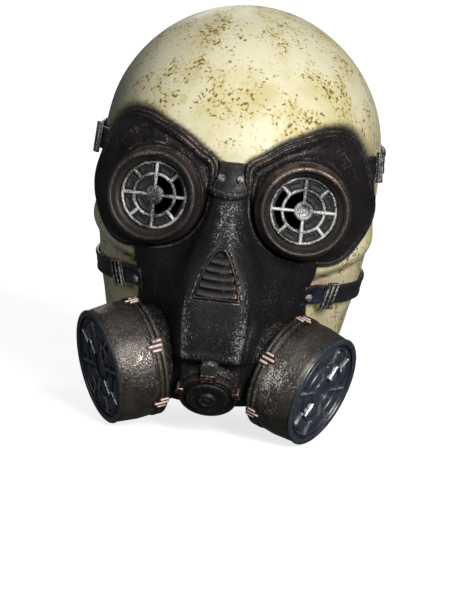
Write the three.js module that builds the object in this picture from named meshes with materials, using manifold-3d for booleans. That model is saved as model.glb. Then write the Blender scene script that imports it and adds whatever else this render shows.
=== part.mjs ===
// Gas mask style costume mask: a moulded skull hood that carries a goggled
// breathing mask, two drum filters, an outlet valve and two buckled straps.
// Millimetres, +Z up, the face looks along -Y, +X is the viewer's right.
// The origin is inside the top of the crown, where a head bears on the hood.

import * as THREE from "three";
import { mergeVertices } from "three/addons/utils/BufferGeometryUtils.js";
import Module from "manifold-3d";

const wasm = await Module();
wasm.setup();

// Clearances
const SEAT_GAP = 0.3; // between two pieces that touch on the real mask
const CUT_OVERLAP = 6; // how far a cutting body runs past what it cuts

// Hood, outside sizes
const HOOD_WALL = 2.5;
const HOOD_HALF_WIDTH = 92;
const HOOD_FRONT = 107;
const HOOD_BACK = 116;
const DOME_HEIGHT = 95; // crown to the widest level
const SIDE_DROP = 140; // widest level to the neck rim
const CHEEKBONE_RISE = 4.5;
const CHEEKBONE_REACH = 9; // height over which a cheekbone fades
const CHEEKBONE_DROP = 34; // its front end below the eyes
const CHEEKBONE_CLIMB = 16; // its back end above the front one
const CHEEKBONE_FROM = 36; // degrees from straight ahead
const CHEEKBONE_SPAN = 52; // degrees
const CHEEKBONE_BLUNTNESS = 0.7; // lower for steeper ends
const HOOD_COLUMNS = 30;
const DOME_ROWS = 6;
const CROWN_CAP_SHARE = 0.02; // flat cap on the crown, of the first ring
const CROWN_CAP_FALL = 0.001;
const FRONT_SEARCH_STEPS = 30; // for the turn below a place in the front view
const SLOPE_TURN = 0.01; // radians to each side, for the slope of the surface
const SLOPE_RISE = 0.5; // up and down

// Sides of the hood below the widest level: shares of the sizes above
const HOOD_ROWS = [
  { down: 0.0, side: 1.0, front: 1.0, back: 1.0, square: 2.4 },
  { down: 0.14, side: 1.0, front: 0.98, back: 0.995, square: 2.45 },
  { down: 0.3, side: 0.985, front: 0.94, back: 0.96, square: 2.4 },
  { down: 0.44, side: 0.96, front: 0.89, back: 0.9, square: 2.3 },
  { down: 0.59, side: 0.925, front: 0.83, back: 0.83, square: 2.2 },
  { down: 0.73, side: 0.875, front: 0.75, back: 0.77, square: 2.1 },
  { down: 0.87, side: 0.82, front: 0.65, back: 0.735, square: 2.05 },
  { down: 1.0, side: 0.795, front: 0.58, back: 0.73, square: 2.0 },
];

// Goggles
const EYE_SPACING_SHARE = 0.5065; // of the hood's half width, from the middle to a goggle
const EYE_HALF_SPACING = HOOD_HALF_WIDTH * EYE_SPACING_SHARE;
const EYE_DROP = 120; // below the crown
const EYE_AHEAD = 105; // seat of the bezel ahead of the crown
const EYE_SPLAY = 10; // degrees outwards
const EYE_RING_RADIUS = 30.8;
const EYE_RING_HEIGHT = 12;
const EYE_RING_BORE = 22;

// Section of a bezel from its seat over the crest to the bore, as shares of
// its width and its height
const EYE_RING_ROWS = [
  { inward: 0, up: 0 },
  { inward: 0, up: 0.36 },
  { inward: 0.2, up: 0.6 },
  { inward: 0.3, up: 1 },
  { inward: 0.57, up: 1 },
  { inward: 0.73, up: 0.64 },
  { inward: 1, up: 0.5 },
];

// Dished frame round each bezel
const FRAME_BORE = 26;
const FRAME_RIM_HEIGHT = 3.2;
const FRAME_RIM_WIDTH = 5.5;
const FRAME_RIM_CROWN = 1; // middle of the rim above its edges
const FRAME_DISH_DEPTH = 4;
const FRAME_SINK = 5; // foot below the hood's surface before it is cut
const FRAME_SEAM = 0.5; // groove between a frame and the breathing mask
const FRAME_SPREAD = 12; // width past the bezel that takes the full dish and rim
const FRAME_LEAST_SPREAD = 0.12;
const FRAME_COLUMNS = 28;
const TEMPLE_MARGIN = 3.5; // side of the hood outside the frame
const FRAME_WIDTH = HOOD_HALF_WIDTH - EYE_HALF_SPACING - EYE_RING_RADIUS - TEMPLE_MARGIN;

// Outer edge of a goggle frame past the bezel as shares of the frame's width,
// by the angle from the temple over the brow to the nose
const FRAME_ROWS = [
  { angle: 0, past: 1.00 },
  { angle: 27, past: 1.08 },
  { angle: 48, past: 1.55 },
  { angle: 65, past: 2.05 },
  { angle: 80, past: 1.80 },
  { angle: 93, past: 1.39 },
  { angle: 111, past: 1.14 },
  { angle: 130, past: 1.05 },
  { angle: 146, past: 1.28 },
  { angle: 157, past: 0.94 },
  { angle: 170, past: 0.33 },
  { angle: 186, past: 0.17 },
  { angle: 236, past: 0.17 },
  { angle: 262, past: 0.22 },
  { angle: 281, past: 0.44 },
  { angle: 300, past: 0.83 },
  { angle: 322, past: 0.94 },
  { angle: 341, past: 0.94 },
];

// Grilles and screens behind the bezels
const GRILLE_RADIUS = 21.5;
const GRILLE_THICKNESS = 2.2;
const GRILLE_BAR = 2.1;
const GRILLE_RIM = 1.6;
const GRILLE_RING_RADIUS = 13.3;
const GRILLE_HUB_RADIUS = 5.3;
const GRILLE_RECESS = 2.4; // back of the grille ahead of the bezel's seat
const GRILLE_SIDES = 20;
const INNER_WINDOW_STEPS = 4; // steps along the outer arc of a window
const OUTER_WINDOW_STEPS = 2;
const SCREEN_ARC_STEPS = 5;
const SCREEN_SIDE_STEPS = 2;
const SCREEN_HUB_STEPS = 3;
const INNER_SPOKES = 4;
const OUTER_SPOKES = 8;
const SCREEN_THICKNESS = 1.2;
const SCREEN_OPEN_SPAN = 90; // degrees of the outer windows left open

// Breathing mask on the face
const FACE_WALL = 3;
const FACE_TOP_DROP = 96; // below the crown
const FACE_HEIGHT = 154;
const MUZZLE_HALF_WIDTH = 25;
const MUZZLE_STANDOFF = 30; // muzzle front ahead of the forehead
const FACE_EDGE_SINK = 8; // edges cut back to the hood from this depth
const FACE_CREST_BULGE = 0.5;
const WINDOW_TOP_RISE = 14; // top of the face window above the eyes
const WINDOW_EYE_TURN = 50; // degrees below level where it leaves a goggle's bore
const WINDOW_CHEEK_HALF_WIDTH = 44;
const WINDOW_CHEEK_LEAD = 18; // from the bore down to the cheek
const WINDOW_JAW_HALF_WIDTH = 55;
const FACE_SPAN_STEPS = 2; // steps between two points of a level, outside
const FACE_CORE_STEPS = 1; // and inside
const LEVEL_MARGIN = 1; // least height between two levels of the inside

// Levels of the breathing mask from its top edge to the chin: half widths of
// its middle, side, root and edge as shares of the muzzle's half width, and
// how far out each lies ahead of the forehead as shares of its standoff
const FACE_ROWS = [
  { down: 0.0, mid: 0.16, midOut: 0.2, side: 0.36, sideOut: 0.18, root: 0.5, rootOut: 0.12, edge: 0.66 },
  { down: 0.07, mid: 0.18, midOut: 0.22, side: 0.4, sideOut: 0.18, root: 0.6, rootOut: 0.08, edge: 0.95 },
  { down: 0.15, mid: 0.17, midOut: 0.34, side: 0.36, sideOut: 0.24, root: 0.62, rootOut: 0.05, edge: 1.5 },
  { down: 0.24, mid: 0.2, midOut: 0.62, side: 0.44, sideOut: 0.44, root: 0.78, rootOut: 0.08, edge: 2.0 },
  { down: 0.33, mid: 0.28, midOut: 0.87, side: 0.62, sideOut: 0.58, root: 1.0, rootOut: 0.06, edge: 2.3 },
  { down: 0.42, mid: 0.44, midOut: 0.97, side: 0.82, sideOut: 0.7, root: 1.2, rootOut: 0.03, edge: 2.3 },
  { down: 0.5, mid: 0.6, midOut: 1.0, side: 0.88, sideOut: 0.76, root: 1.26, rootOut: -0.02, edge: 2.15 },
  { down: 0.58, mid: 0.68, midOut: 1.0, side: 0.9, sideOut: 0.74, root: 1.24, rootOut: -0.06, edge: 2.12 },
  { down: 0.67, mid: 0.68, midOut: 0.97, side: 0.88, sideOut: 0.7, root: 1.2, rootOut: -0.1, edge: 2.2 },
  { down: 0.75, mid: 0.66, midOut: 0.9, side: 0.84, sideOut: 0.62, root: 1.18, rootOut: -0.12, edge: 2.35 },
  { down: 0.79, mid: 0.64, midOut: 0.84, side: 0.82, sideOut: 0.58, root: 1.18, rootOut: -0.14, edge: 2.4 },
  { down: 0.81, mid: 0.6, midOut: 0.5, side: 0.82, sideOut: 0.32, root: 1.18, rootOut: -0.16, edge: 2.42 },
  { down: 0.88, mid: 0.54, midOut: 0.3, side: 0.84, sideOut: 0.14, root: 1.24, rootOut: -0.26, edge: 2.4 },
  { down: 0.95, mid: 0.46, midOut: 0.02, side: 0.86, sideOut: -0.1, root: 1.3, rootOut: -0.5, edge: 1.95 },
  { down: 1.0, mid: 0.4, midOut: -0.3, side: 0.8, sideOut: -0.42, root: 1.15, rootOut: -0.8, edge: 1.5 },
];

// Bar and studs between the goggles
const BRIDGE_FALL = 16; // below the top of the breathing mask
const BRIDGE_DROP = FACE_TOP_DROP + BRIDGE_FALL;
const BRIDGE_HALF_WIDTH = 13.5;
const BRIDGE_SAG = 3;
const BRIDGE_HEIGHT = 5;
const BRIDGE_THICKNESS = 4.4;
const BRIDGE_BEVEL = 0.8;
const BRIDGE_SINK = 0.8; // depth of its pocket
const BRIDGE_STEPS = 10;
const STUD_RADIUS = 2.6;
const STUD_TAPER = 0.7;
const STUD_HEIGHT = 2;
const STUD_HALF_SPACING = 5.8;
const STUD_FALL = 8.5; // below the top of the breathing mask
const STUD_DROP = FACE_TOP_DROP + STUD_FALL;

// Louvre on the nose
const VENT_FALL = 51; // below the top of the breathing mask
const VENT_TOP_DROP = FACE_TOP_DROP + VENT_FALL;
const VENT_HEIGHT = 32;
const VENT_HALF_WIDTH = 15;
const VENT_THICKNESS = 3;
const VENT_SINK = 1.2; // depth of its pocket
const VENT_RIM = 1.8;
const VENT_SLATS = 5;
const VENT_SLAT_HEIGHT = 2.2;
const VENT_SLAT_TILT = 35;
const VENT_SIDE_LEAN = 1.2; // how far a slanted side moves across for each millimetre of offset

// Outline of the louvre from its blunt top to its foot, as shares of its sizes
const VENT_ROWS = [
  { down: 0, half: 0.2 },
  { down: 0.1, half: 0.36 },
  { down: 0.28, half: 0.54 },
  { down: 0.55, half: 0.75 },
  { down: 1, half: 1 },
];

// Drum filters
const FILTER_SIDE = 44; // centre of the flange from the middle plane
const FILTER_AHEAD = 85;
const FILTER_RISE = 25; // above the foot of the breathing mask
const FILTER_DROP = FACE_TOP_DROP + FACE_HEIGHT - FILTER_RISE;
const FILTER_TURN = 64; // degrees from straight ahead
const FILTER_DROOP = 16.5; // degrees below level
const FILTER_RADIUS = 38;
const FILTER_LENGTH = 32;
const FILTER_WALL = 3.5;
const FLANGE_RISE = 0.6; // flange past the drum's side
const FLANGE_RING = 2.2; // width of each ring of the double flange
const FLANGE_GROOVE = 1.2; // width and depth of the groove beside each ring
const FILTER_BEVEL = 2.4;
const FILTER_LIP = 1.6; // flat edge round the open end
const FILTER_LIP_FALL = 0.6; // inside of the lip, down to the ledge
const FILTER_LEDGE = 2; // shelf under the rim of the face disc
const FILTER_FACE_RECESS = 4.5;
const FILTER_FACE_THICKNESS = 2.5;
const FILTER_RIB = 1.7;
const FILTER_RIB_RISE = 1.8;
const FILTER_WEB_SINK = 1; // foot of the web in its disc
const FILTER_WEB_MARGIN = 0.7; // outside of the web inside the rim of the disc
const FILTER_RING_SHARES = [0.28, 0.6, 0.94];
const FILTER_INNER_SPOKES = 6;
const FILTER_OUTER_SPOKES = 8;
const NECK_RADIUS = 32;
const NECK_LENGTH = 26;
const NECK_WALL = 3.5;
const NECK_TAPER = 0.92;
const ROUND_SIDES = 20;
const WEB_SIDES = 12;

// Three bar clips round the flange of a filter
const CLASP_COUNT = 6;
const CLASP_START = 20; // degrees above the foremost point
const CLASP_BAR_WIDTH = 1.8;
const CLASP_SLIT = 1.3; // between two bars
const CLASP_RISE = 1.8;
const CLASP_LONG = 10;
const CLASP_SHORT = 7;
const CLASP_AHEAD = 5.5; // middle of a clip from the back of the flange

// Outlet valve under the muzzle ledge
const VALVE_AHEAD = 117;
const VALVE_RISE = 5; // above the foot of the breathing mask
const VALVE_DROP = FACE_TOP_DROP + FACE_HEIGHT - VALVE_RISE;
const VALVE_DROOP = 43;
const VALVE_RADIUS = 16;
const VALVE_DEPTH = 7;
const VALVE_BUTTON_RADIUS = 5.2;
const VALVE_SIDES = 16;
const COLLAR_DEPTH = 5;
const COLLAR_WALL = 2.2;
const COLLAR_RADIUS = VALVE_RADIUS + SEAT_GAP + COLLAR_WALL;
const LUG_ANGLES = [15, 90, 165];
const LUG_LENGTH = 4.5;
const LUG_WIDTH = 5;
const LUG_RISE = 1; // lug ahead of the collar
const VALVE_BOSS_DEPTH = 12;
const VALVE_BOSS_MARGIN = 1; // boss wider than the collar at its top
const VALVE_BOSS_FLARE = 3;

// Section of the cap from its back over the rim and the dish to the ringed
// button, as shares of the cap's radius past the button, or of the button's
// radius, and of the cap's depth
const CAP_ROWS = [
  { past: 0.91, up: 0 },
  { past: 1, up: 0.6 },
  { past: 0.93, up: 0.8 },
  { past: 0.72, up: 0.97 },
  { past: 0.24, up: 0.87 },
  { past: 0.07, up: 0.87 },
];
const BUTTON_ROWS = [
  { across: 1, up: 1.14 },
  { across: 0.77, up: 1.17 },
  { across: 0.65, up: 0.97 },
  { across: 0, up: 0.97 },
];

// Straps and buckles
const STRAP_THICKNESS = 2.4;
const STRAP_LIFT = 0.8; // room under a strap on the curved hood
const BROW_STRAP_WIDTH = 14;
const BROW_STRAP_DROP = 92;
const BROW_STRAP_BACK_DROP = 84;
const BROW_BUCKLE_TURN = 63; // degrees from straight ahead
const BROW_TAB_TURN = 54;
const CHEEK_STRAP_WIDTH = 12.5;
const CHEEK_STRAP_DROP = 175;
const CHEEK_STRAP_BACK_DROP = 166;
const CHEEK_BUCKLE_TURN = 47;
const CHEEK_TAB_TURN = 33;
const BUCKLE_LENGTH = 10;
const BUCKLE_MARGIN = 3; // buckle taller than its strap
const BUCKLE_BAR = 2;
const BUCKLE_THICKNESS = 2.6;
const STRAP_BUTT_GAP = 3; // between strap end and tab end, under the buckle
const STRAP_STEPS = 30;
const TAB_STEPS = 4;
const RIVET_RADIUS = 2.6;
const RIVET_TAPER = 0.75;
const RIVET_HEIGHT = 1.6;
const RIVET_INSET = 3.5; // from the end of the tab
const SMALL_SIDES = 10; // sides of rivets and studs

// Colours and sheen
const BONE = { color: 0xe6dcb8, roughness: 0.55, metalness: 0 };
const RUBBER = { color: 0x1d1a19, roughness: 0.45, metalness: 0.1 };
const BRONZE = { color: 0x4a3630, roughness: 0.4, metalness: 0.5 };
const SILVER = { color: 0x9a9a98, roughness: 0.35, metalness: 0.8 };
const COPPER = { color: 0xa9735a, roughness: 0.4, metalness: 0.7 };
const BLUE_BLACK = { color: 0x1c2028, roughness: 0.5, metalness: 0.1 };
const GAUZE = { color: 0x4f5252, roughness: 0.8, metalness: 0.1 };

const degrees = (angle) => THREE.MathUtils.degToRad(angle);
const SIDES = [
  { name: "left", sign: -1 },
  { name: "right", sign: 1 },
];

// Smooth value of every column of a table at one value of its first column
function rowAt(rows, key, at) {
  const last = rows.length - 1;
  let i = 0;
  while (i < last - 1 && at > rows[i + 1][key]) i += 1;
  const a = rows[i];
  const b = rows[i + 1];
  const span = b[key] - a[key];
  const t = THREE.MathUtils.clamp((at - a[key]) / span, 0, 1);
  const before = rows[Math.max(i - 1, 0)];
  const after = rows[Math.min(i + 2, last)];
  const result = {};
  for (const name of Object.keys(a)) {
    const slopeA = ((b[name] - before[name]) / (b[key] - before[key])) * span;
    const slopeB = ((after[name] - a[name]) / (after[key] - a[key])) * span;
    const t2 = t * t;
    const t3 = t2 * t;
    result[name] =
      (2 * t3 - 3 * t2 + 1) * a[name] +
      (t3 - 2 * t2 + t) * slopeA +
      (3 * t2 - 2 * t3) * b[name] +
      (t3 - t2) * slopeB;
  }
  return result;
}

// Closed body from a stack of closed rings with the same number of points
function loft(rings, closedStack = false) {
  const count = rings[0].length;
  const positions = rings.flat().flatMap((p) => [p.x, p.y, p.z]);
  const index = [];
  const bands = closedStack ? rings.length : rings.length - 1;
  for (let r = 0; r < bands; r += 1) {
    const next = (r + 1) % rings.length;
    for (let c = 0; c < count; c += 1) {
      const d = (c + 1) % count;
      const a = r * count + c;
      const b = r * count + d;
      const e = next * count + c;
      const f = next * count + d;
      index.push(a, b, f, a, f, e);
    }
  }
  if (!closedStack) {
    for (const [r, flip] of [[0, true], [rings.length - 1, false]]) {
      const shape = rings[r];
      const centre = shape.reduce((sum, p) => sum.add(p), new THREE.Vector3()).divideScalar(count);
      const hub = positions.length / 3;
      positions.push(centre.x, centre.y, centre.z);
      for (let c = 0; c < count; c += 1) {
        const a = r * count + c;
        const b = r * count + ((c + 1) % count);
        index.push(...(flip ? [hub, b, a] : [hub, a, b]));
      }
    }
  }
  const geometry = new THREE.BufferGeometry();
  geometry.setAttribute("position", new THREE.Float32BufferAttribute(positions, 3));
  geometry.setIndex(index);
  return facingOut(geometry);
}

function signedVolume(geometry) {
  const p = geometry.getAttribute("position");
  const index = geometry.getIndex();
  const a = new THREE.Vector3();
  const b = new THREE.Vector3();
  const c = new THREE.Vector3();
  let volume = 0;
  for (let i = 0; i < index.count; i += 3) {
    a.fromBufferAttribute(p, index.getX(i));
    b.fromBufferAttribute(p, index.getX(i + 1));
    c.fromBufferAttribute(p, index.getX(i + 2));
    volume += a.dot(b.cross(c)) / 6;
  }
  return volume;
}

function facingOut(geometry) {
  if (signedVolume(geometry) >= 0) return geometry;
  const index = geometry.getIndex();
  for (let i = 0; i < index.count; i += 3) {
    const keep = index.getX(i);
    index.setX(i, index.getX(i + 1));
    index.setX(i + 1, keep);
  }
  return geometry;
}

// Boolean solids and back
function toSolid(geometry, matrix = new THREE.Matrix4()) {
  const bare = geometry.clone().applyMatrix4(matrix);
  bare.deleteAttribute("normal");
  bare.deleteAttribute("uv");
  const merged = facingOut(mergeVertices(bare, 1e-4));
  const mesh = new wasm.Mesh({
    numProp: 3,
    vertProperties: Float32Array.from(merged.getAttribute("position").array),
    triVerts: Uint32Array.from(merged.getIndex().array),
  });
  return new wasm.Manifold(mesh);
}

function toGeometry(solid) {
  const mesh = solid.getMesh();
  const geometry = new THREE.BufferGeometry();
  const stride = mesh.numProp;
  const count = mesh.vertProperties.length / stride;
  const positions = new Float32Array(count * 3);
  for (let i = 0; i < count; i += 1) {
    for (let k = 0; k < 3; k += 1) positions[i * 3 + k] = mesh.vertProperties[i * stride + k];
  }
  geometry.setAttribute("position", new THREE.BufferAttribute(positions, 3));
  geometry.setIndex(new THREE.BufferAttribute(Uint32Array.from(mesh.triVerts), 1));
  return geometry;
}

const unite = (solids) => solids.reduce((sum, solid) => sum.add(solid));
const without = (solid, cutters) => cutters.reduce((rest, cutter) => rest.subtract(cutter), solid);

// Radius of the hood about the crown's axis, by the turn from straight ahead
function hoodRadius(turn, z, grow) {
  const depth = HOOD_WALL + grow - z;
  const dome = DOME_HEIGHT + grow;
  let shape = HOOD_ROWS[0];
  let round = 1;
  if (depth < dome) {
    const share = Math.max(depth / dome, 0);
    round = Math.sqrt(Math.max(1 - (1 - share) ** 2, 0));
    const square = THREE.MathUtils.lerp(2, HOOD_ROWS[0].square, share * share);
    shape = { ...HOOD_ROWS[0], square };
  } else {
    shape = rowAt(HOOD_ROWS, "down", (depth - dome) / (SIDE_DROP + grow));
  }
  const across = HOOD_HALF_WIDTH * shape.side + grow;
  const along = (Math.cos(turn) > 0 ? HOOD_FRONT * shape.front : HOOD_BACK * shape.back) + grow;
  const sine = Math.abs(Math.sin(turn) / across) ** shape.square;
  const cosine = Math.abs(Math.cos(turn) / along) ** shape.square;
  return round * (sine + cosine) ** (-1 / shape.square) + cheekboneRise(turn, z);
}

// The cheekbone runs from below the goggle back towards the ear
function cheekboneRise(turn, z) {
  const side = Math.abs(turn) > Math.PI ? 2 * Math.PI - Math.abs(turn) : Math.abs(turn);
  const along = (side - degrees(CHEEKBONE_FROM)) / degrees(CHEEKBONE_SPAN);
  if (along <= 0 || along >= 1) return 0;
  const ridge = -EYE_DROP - CHEEKBONE_DROP + CHEEKBONE_CLIMB * along;
  const fade = Math.exp(-(((z - ridge) / CHEEKBONE_REACH) ** 2));
  return CHEEKBONE_RISE * Math.sin(Math.PI * along) ** CHEEKBONE_BLUNTNESS * fade;
}

function hoodPoint(turn, z, grow = 0) {
  const radius = hoodRadius(turn, z, grow);
  return new THREE.Vector3(radius * Math.sin(turn), -radius * Math.cos(turn), z);
}

// Point on the front of the hood above or below a place in the front view
function hoodFront(x, z, grow = 0) {
  let turn = Math.atan2(x, HOOD_FRONT);
  for (let step = 0; step < FRONT_SEARCH_STEPS; step += 1) {
    const sine = THREE.MathUtils.clamp(x / hoodRadius(turn, z, grow), -1, 1);
    turn = (turn + Math.asin(sine)) / 2;
  }
  return hoodPoint(turn, z, grow);
}

function hoodNormal(turn, z) {
  const across = hoodPoint(turn + SLOPE_TURN, z).sub(hoodPoint(turn - SLOPE_TURN, z));
  const up = hoodPoint(turn, z + SLOPE_RISE).sub(hoodPoint(turn, z - SLOPE_RISE));
  return across.cross(up).normalize();
}

const RIM_Z = HOOD_WALL - DOME_HEIGHT - SIDE_DROP;

// Filled body of the hood, moved out or in by one distance
function hoodBody(grow, bottom) {
  const top = HOOD_WALL + grow;
  const dome = DOME_HEIGHT + grow;
  const levels = [];
  for (let i = 1; i <= DOME_ROWS; i += 1) {
    levels.push(top - dome * (1 - Math.cos((i / DOME_ROWS) * Math.PI * 0.5)));
  }
  for (const row of HOOD_ROWS.slice(1)) levels.push(top - dome - row.down * (-bottom + top - dome));
  const rings = levels.map((z) => {
    const ring = [];
    for (let c = 0; c < HOOD_COLUMNS; c += 1) {
      ring.push(hoodPoint((c / HOOD_COLUMNS) * 2 * Math.PI, z, grow));
    }
    return ring;
  });
  const cap = rings[0].map(({ x, y }) => {
    return new THREE.Vector3(x * CROWN_CAP_SHARE, y * CROWN_CAP_SHARE, top - CROWN_CAP_FALL);
  });
  rings.unshift(cap);
  return toSolid(loft(rings));
}

// Outline of the window behind the goggles and the muzzle, cut front to back
function faceWindow() {
  const eyes = SIDES.map(({ sign }) => {
    const shape = new THREE.Shape();
    shape.absarc(sign * EYE_HALF_SPACING, -EYE_DROP, FRAME_BORE, 0, Math.PI * 2);
    return extrudeBack(shape);
  });
  const leave = degrees(WINDOW_EYE_TURN);
  const filterTop = FILTER_RADIUS - FILTER_DROP;
  const half = [
    [EYE_HALF_SPACING, WINDOW_TOP_RISE - EYE_DROP],
    [EYE_HALF_SPACING + FRAME_BORE * Math.cos(leave), -EYE_DROP - FRAME_BORE * Math.sin(leave)],
    [WINDOW_CHEEK_HALF_WIDTH, -EYE_DROP - FRAME_BORE - WINDOW_CHEEK_LEAD],
    [WINDOW_CHEEK_HALF_WIDTH, filterTop],
    [WINDOW_JAW_HALF_WIDTH, filterTop - FILTER_RADIUS / 2],
    [WINDOW_JAW_HALF_WIDTH, RIM_Z - CUT_OVERLAP],
  ];
  const outline = [...half, ...half.toReversed().map(([x, z]) => [-x, z])];
  const middle = new THREE.Shape(outline.map(([x, z]) => new THREE.Vector2(x, z)));
  return unite([...eyes, extrudeBack(middle)]);
}

// Prism through the front half of the hood only, and as far ahead of it
function extrudeBack(shape, ahead = 0) {
  const depth = HOOD_FRONT + ahead + CUT_OVERLAP;
  const curveSegments = ROUND_SIDES / 2;
  const geometry = new THREE.ExtrudeGeometry(shape, { depth, bevelEnabled: false, curveSegments });
  geometry.rotateX(Math.PI / 2);
  return toSolid(geometry);
}

function skullHood() {
  const outer = hoodBody(0, RIM_Z);
  const inner = hoodBody(-HOOD_WALL, RIM_Z - CUT_OVERLAP);
  return without(outer, [inner, faceWindow()]);
}

// Place and axes of a goggle: Y along the line of sight, Z up
function eyePlace(sign) {
  const splay = degrees(EYE_SPLAY) * sign;
  const sight = new THREE.Vector3(Math.sin(splay), -Math.cos(splay), 0);
  const up = new THREE.Vector3(0, 0, 1);
  const across = sight.clone().cross(up);
  const matrix = new THREE.Matrix4().makeBasis(across, sight, up);
  matrix.setPosition(sign * EYE_HALF_SPACING, -EYE_AHEAD, -EYE_DROP);
  return matrix;
}

// Place in the front view of a frame's outer edge
function frameEdge(sign, angle) {
  const wrapped = THREE.MathUtils.radToDeg(angle);
  const turned = (row, by) => ({ ...row, angle: row.angle + by });
  const rows = [
    ...FRAME_ROWS.slice(-2).map((row) => turned(row, -360)),
    ...FRAME_ROWS,
    ...FRAME_ROWS.slice(0, 2).map((row) => turned(row, 360)),
  ];
  const past = FRAME_WIDTH * rowAt(rows, "angle", wrapped).past;
  const radius = EYE_RING_RADIUS + past;
  return {
    x: sign * (EYE_HALF_SPACING + radius * Math.cos(angle)),
    z: -EYE_DROP + radius * Math.sin(angle),
    spread: THREE.MathUtils.clamp(past / FRAME_SPREAD, FRAME_LEAST_SPREAD, 1),
  };
}

// Closed section of a goggle frame at one angle, from the bore over the
// seat, the dish and the raised rim to the foot sunk below the hood
function frameSection(sign, angle) {
  const place = eyePlace(sign);
  const atSeat = (radius) =>
    new THREE.Vector3(-sign * Math.cos(angle) * radius, 0, Math.sin(angle) * radius).applyMatrix4(place);
  const { x, z, spread } = frameEdge(sign, angle);
  const foot = hoodFront(x, z);
  const normal = hoodNormal(Math.atan2(foot.x, -foot.y), z);
  const inward = new THREE.Vector3(-sign * Math.cos(angle), 0, -Math.sin(angle));
  inward.projectOnPlane(normal).normalize();
  const seat = atSeat(EYE_RING_RADIUS);
  const bore = atSeat(FRAME_BORE);
  const rim = (along, height) =>
    foot.clone().addScaledVector(inward, along * spread).addScaledVector(normal, height);
  const rimOut = rim(0, FRAME_RIM_HEIGHT);
  const rimTop = rim(FRAME_RIM_WIDTH / 2, FRAME_RIM_HEIGHT + FRAME_RIM_CROWN * spread);
  const rimIn = rim(FRAME_RIM_WIDTH, FRAME_RIM_HEIGHT);
  const dish = seat.clone().lerp(rimIn, 0.5).addScaledVector(normal, -FRAME_DISH_DEPTH * spread);
  const deepFoot = foot.clone();
  deepFoot.y += FRAME_SINK;
  const boreFoot = hoodFront(bore.x, bore.z);
  boreFoot.y += FRAME_SINK;
  return [bore, seat, dish, rimIn, rimTop, rimOut, deepFoot, boreFoot];
}

function goggleFrame(sign, hoodCutter, tabCutter) {
  const sections = [];
  for (let c = 0; c < FRAME_COLUMNS; c += 1) {
    sections.push(frameSection(sign, (c / FRAME_COLUMNS) * Math.PI * 2));
  }
  return without(toSolid(loft(sections, true)), [hoodCutter, tabCutter]);
}

// What a frame takes out of the breathing mask, front to back
function framePlug(sign) {
  const outline = [];
  for (let c = 0; c < FRAME_COLUMNS; c += 1) {
    const angle = (c / FRAME_COLUMNS) * Math.PI * 2;
    const outward = new THREE.Vector3(sign * Math.cos(angle), 0, Math.sin(angle));
    const eye = new THREE.Vector3(sign * EYE_HALF_SPACING, 0, -EYE_DROP);
    const widest = Math.max(...frameSection(sign, angle).map((p) => p.sub(eye).dot(outward)));
    eye.addScaledVector(outward, widest + FRAME_SEAM);
    outline.push(new THREE.Vector2(eye.x, eye.z));
  }
  return extrudeBack(new THREE.Shape(outline), MUZZLE_STANDOFF);
}

// Bezel of a goggle with a stepped face, turned about the line of sight
function eyeRing() {
  const width = EYE_RING_RADIUS - EYE_RING_BORE;
  const section = EYE_RING_ROWS.map(({ inward, up }) => {
    return [EYE_RING_RADIUS - inward * width, up * EYE_RING_HEIGHT];
  });
  const profile = [[EYE_RING_BORE, 0], ...section, [EYE_RING_BORE, 0]];
  return new THREE.LatheGeometry(profile.map(([r, h]) => new THREE.Vector2(r, h + SEAT_GAP)), ROUND_SIDES);
}

// Points of an arc about the middle of a flat shape
function arcPoints(radius, from, to, steps) {
  const points = [];
  for (let i = 0; i <= steps; i += 1) {
    const angle = THREE.MathUtils.lerp(from, to, i / steps);
    points.push(new THREE.Vector2(radius * Math.cos(angle), radius * Math.sin(angle)));
  }
  return points;
}

function disc(radius, sides) {
  return new THREE.Shape(arcPoints(radius, 0, Math.PI * 2, sides).slice(0, -1));
}

// Window between two spokes and two rings, as a hole of a flat shape
function sectorHole(inner, outer, from, to, steps) {
  const slackOut = GRILLE_BAR / 2 / outer;
  const slackIn = GRILLE_BAR / 2 / inner;
  return new THREE.Path([
    ...arcPoints(outer, from + slackOut, to - slackOut, steps),
    ...arcPoints(inner, to - slackIn, from + slackIn, Math.ceil(steps / 2)),
  ]);
}

function ringOfHoles(count, inner, outer, steps) {
  const step = (Math.PI * 2) / count;
  const holes = [];
  for (let i = 0; i < count; i += 1) holes.push(sectorHole(inner, outer, i * step, (i + 1) * step, steps));
  return holes;
}

// Flat piece of a goggle, its back a given distance ahead of the seat
function gogglePlate(shape, thickness, ahead) {
  const geometry = new THREE.ExtrudeGeometry(shape, { depth: thickness, bevelEnabled: false });
  return geometry.rotateX(-Math.PI / 2).translate(0, ahead, 0);
}

// Grille of a goggle: hub, middle ring and spokes cut from one disc
function eyeGrille() {
  const shape = disc(GRILLE_RADIUS, GRILLE_SIDES);
  const ring = GRILLE_RING_RADIUS;
  const halfBar = GRILLE_BAR / 2;
  shape.holes.push(
    ...ringOfHoles(INNER_SPOKES, GRILLE_HUB_RADIUS, ring - halfBar, INNER_WINDOW_STEPS),
    ...ringOfHoles(OUTER_SPOKES, ring + halfBar, GRILLE_RADIUS - GRILLE_RIM, OUTER_WINDOW_STEPS),
  );
  return gogglePlate(shape, GRILLE_THICKNESS, GRILLE_RECESS);
}

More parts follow.
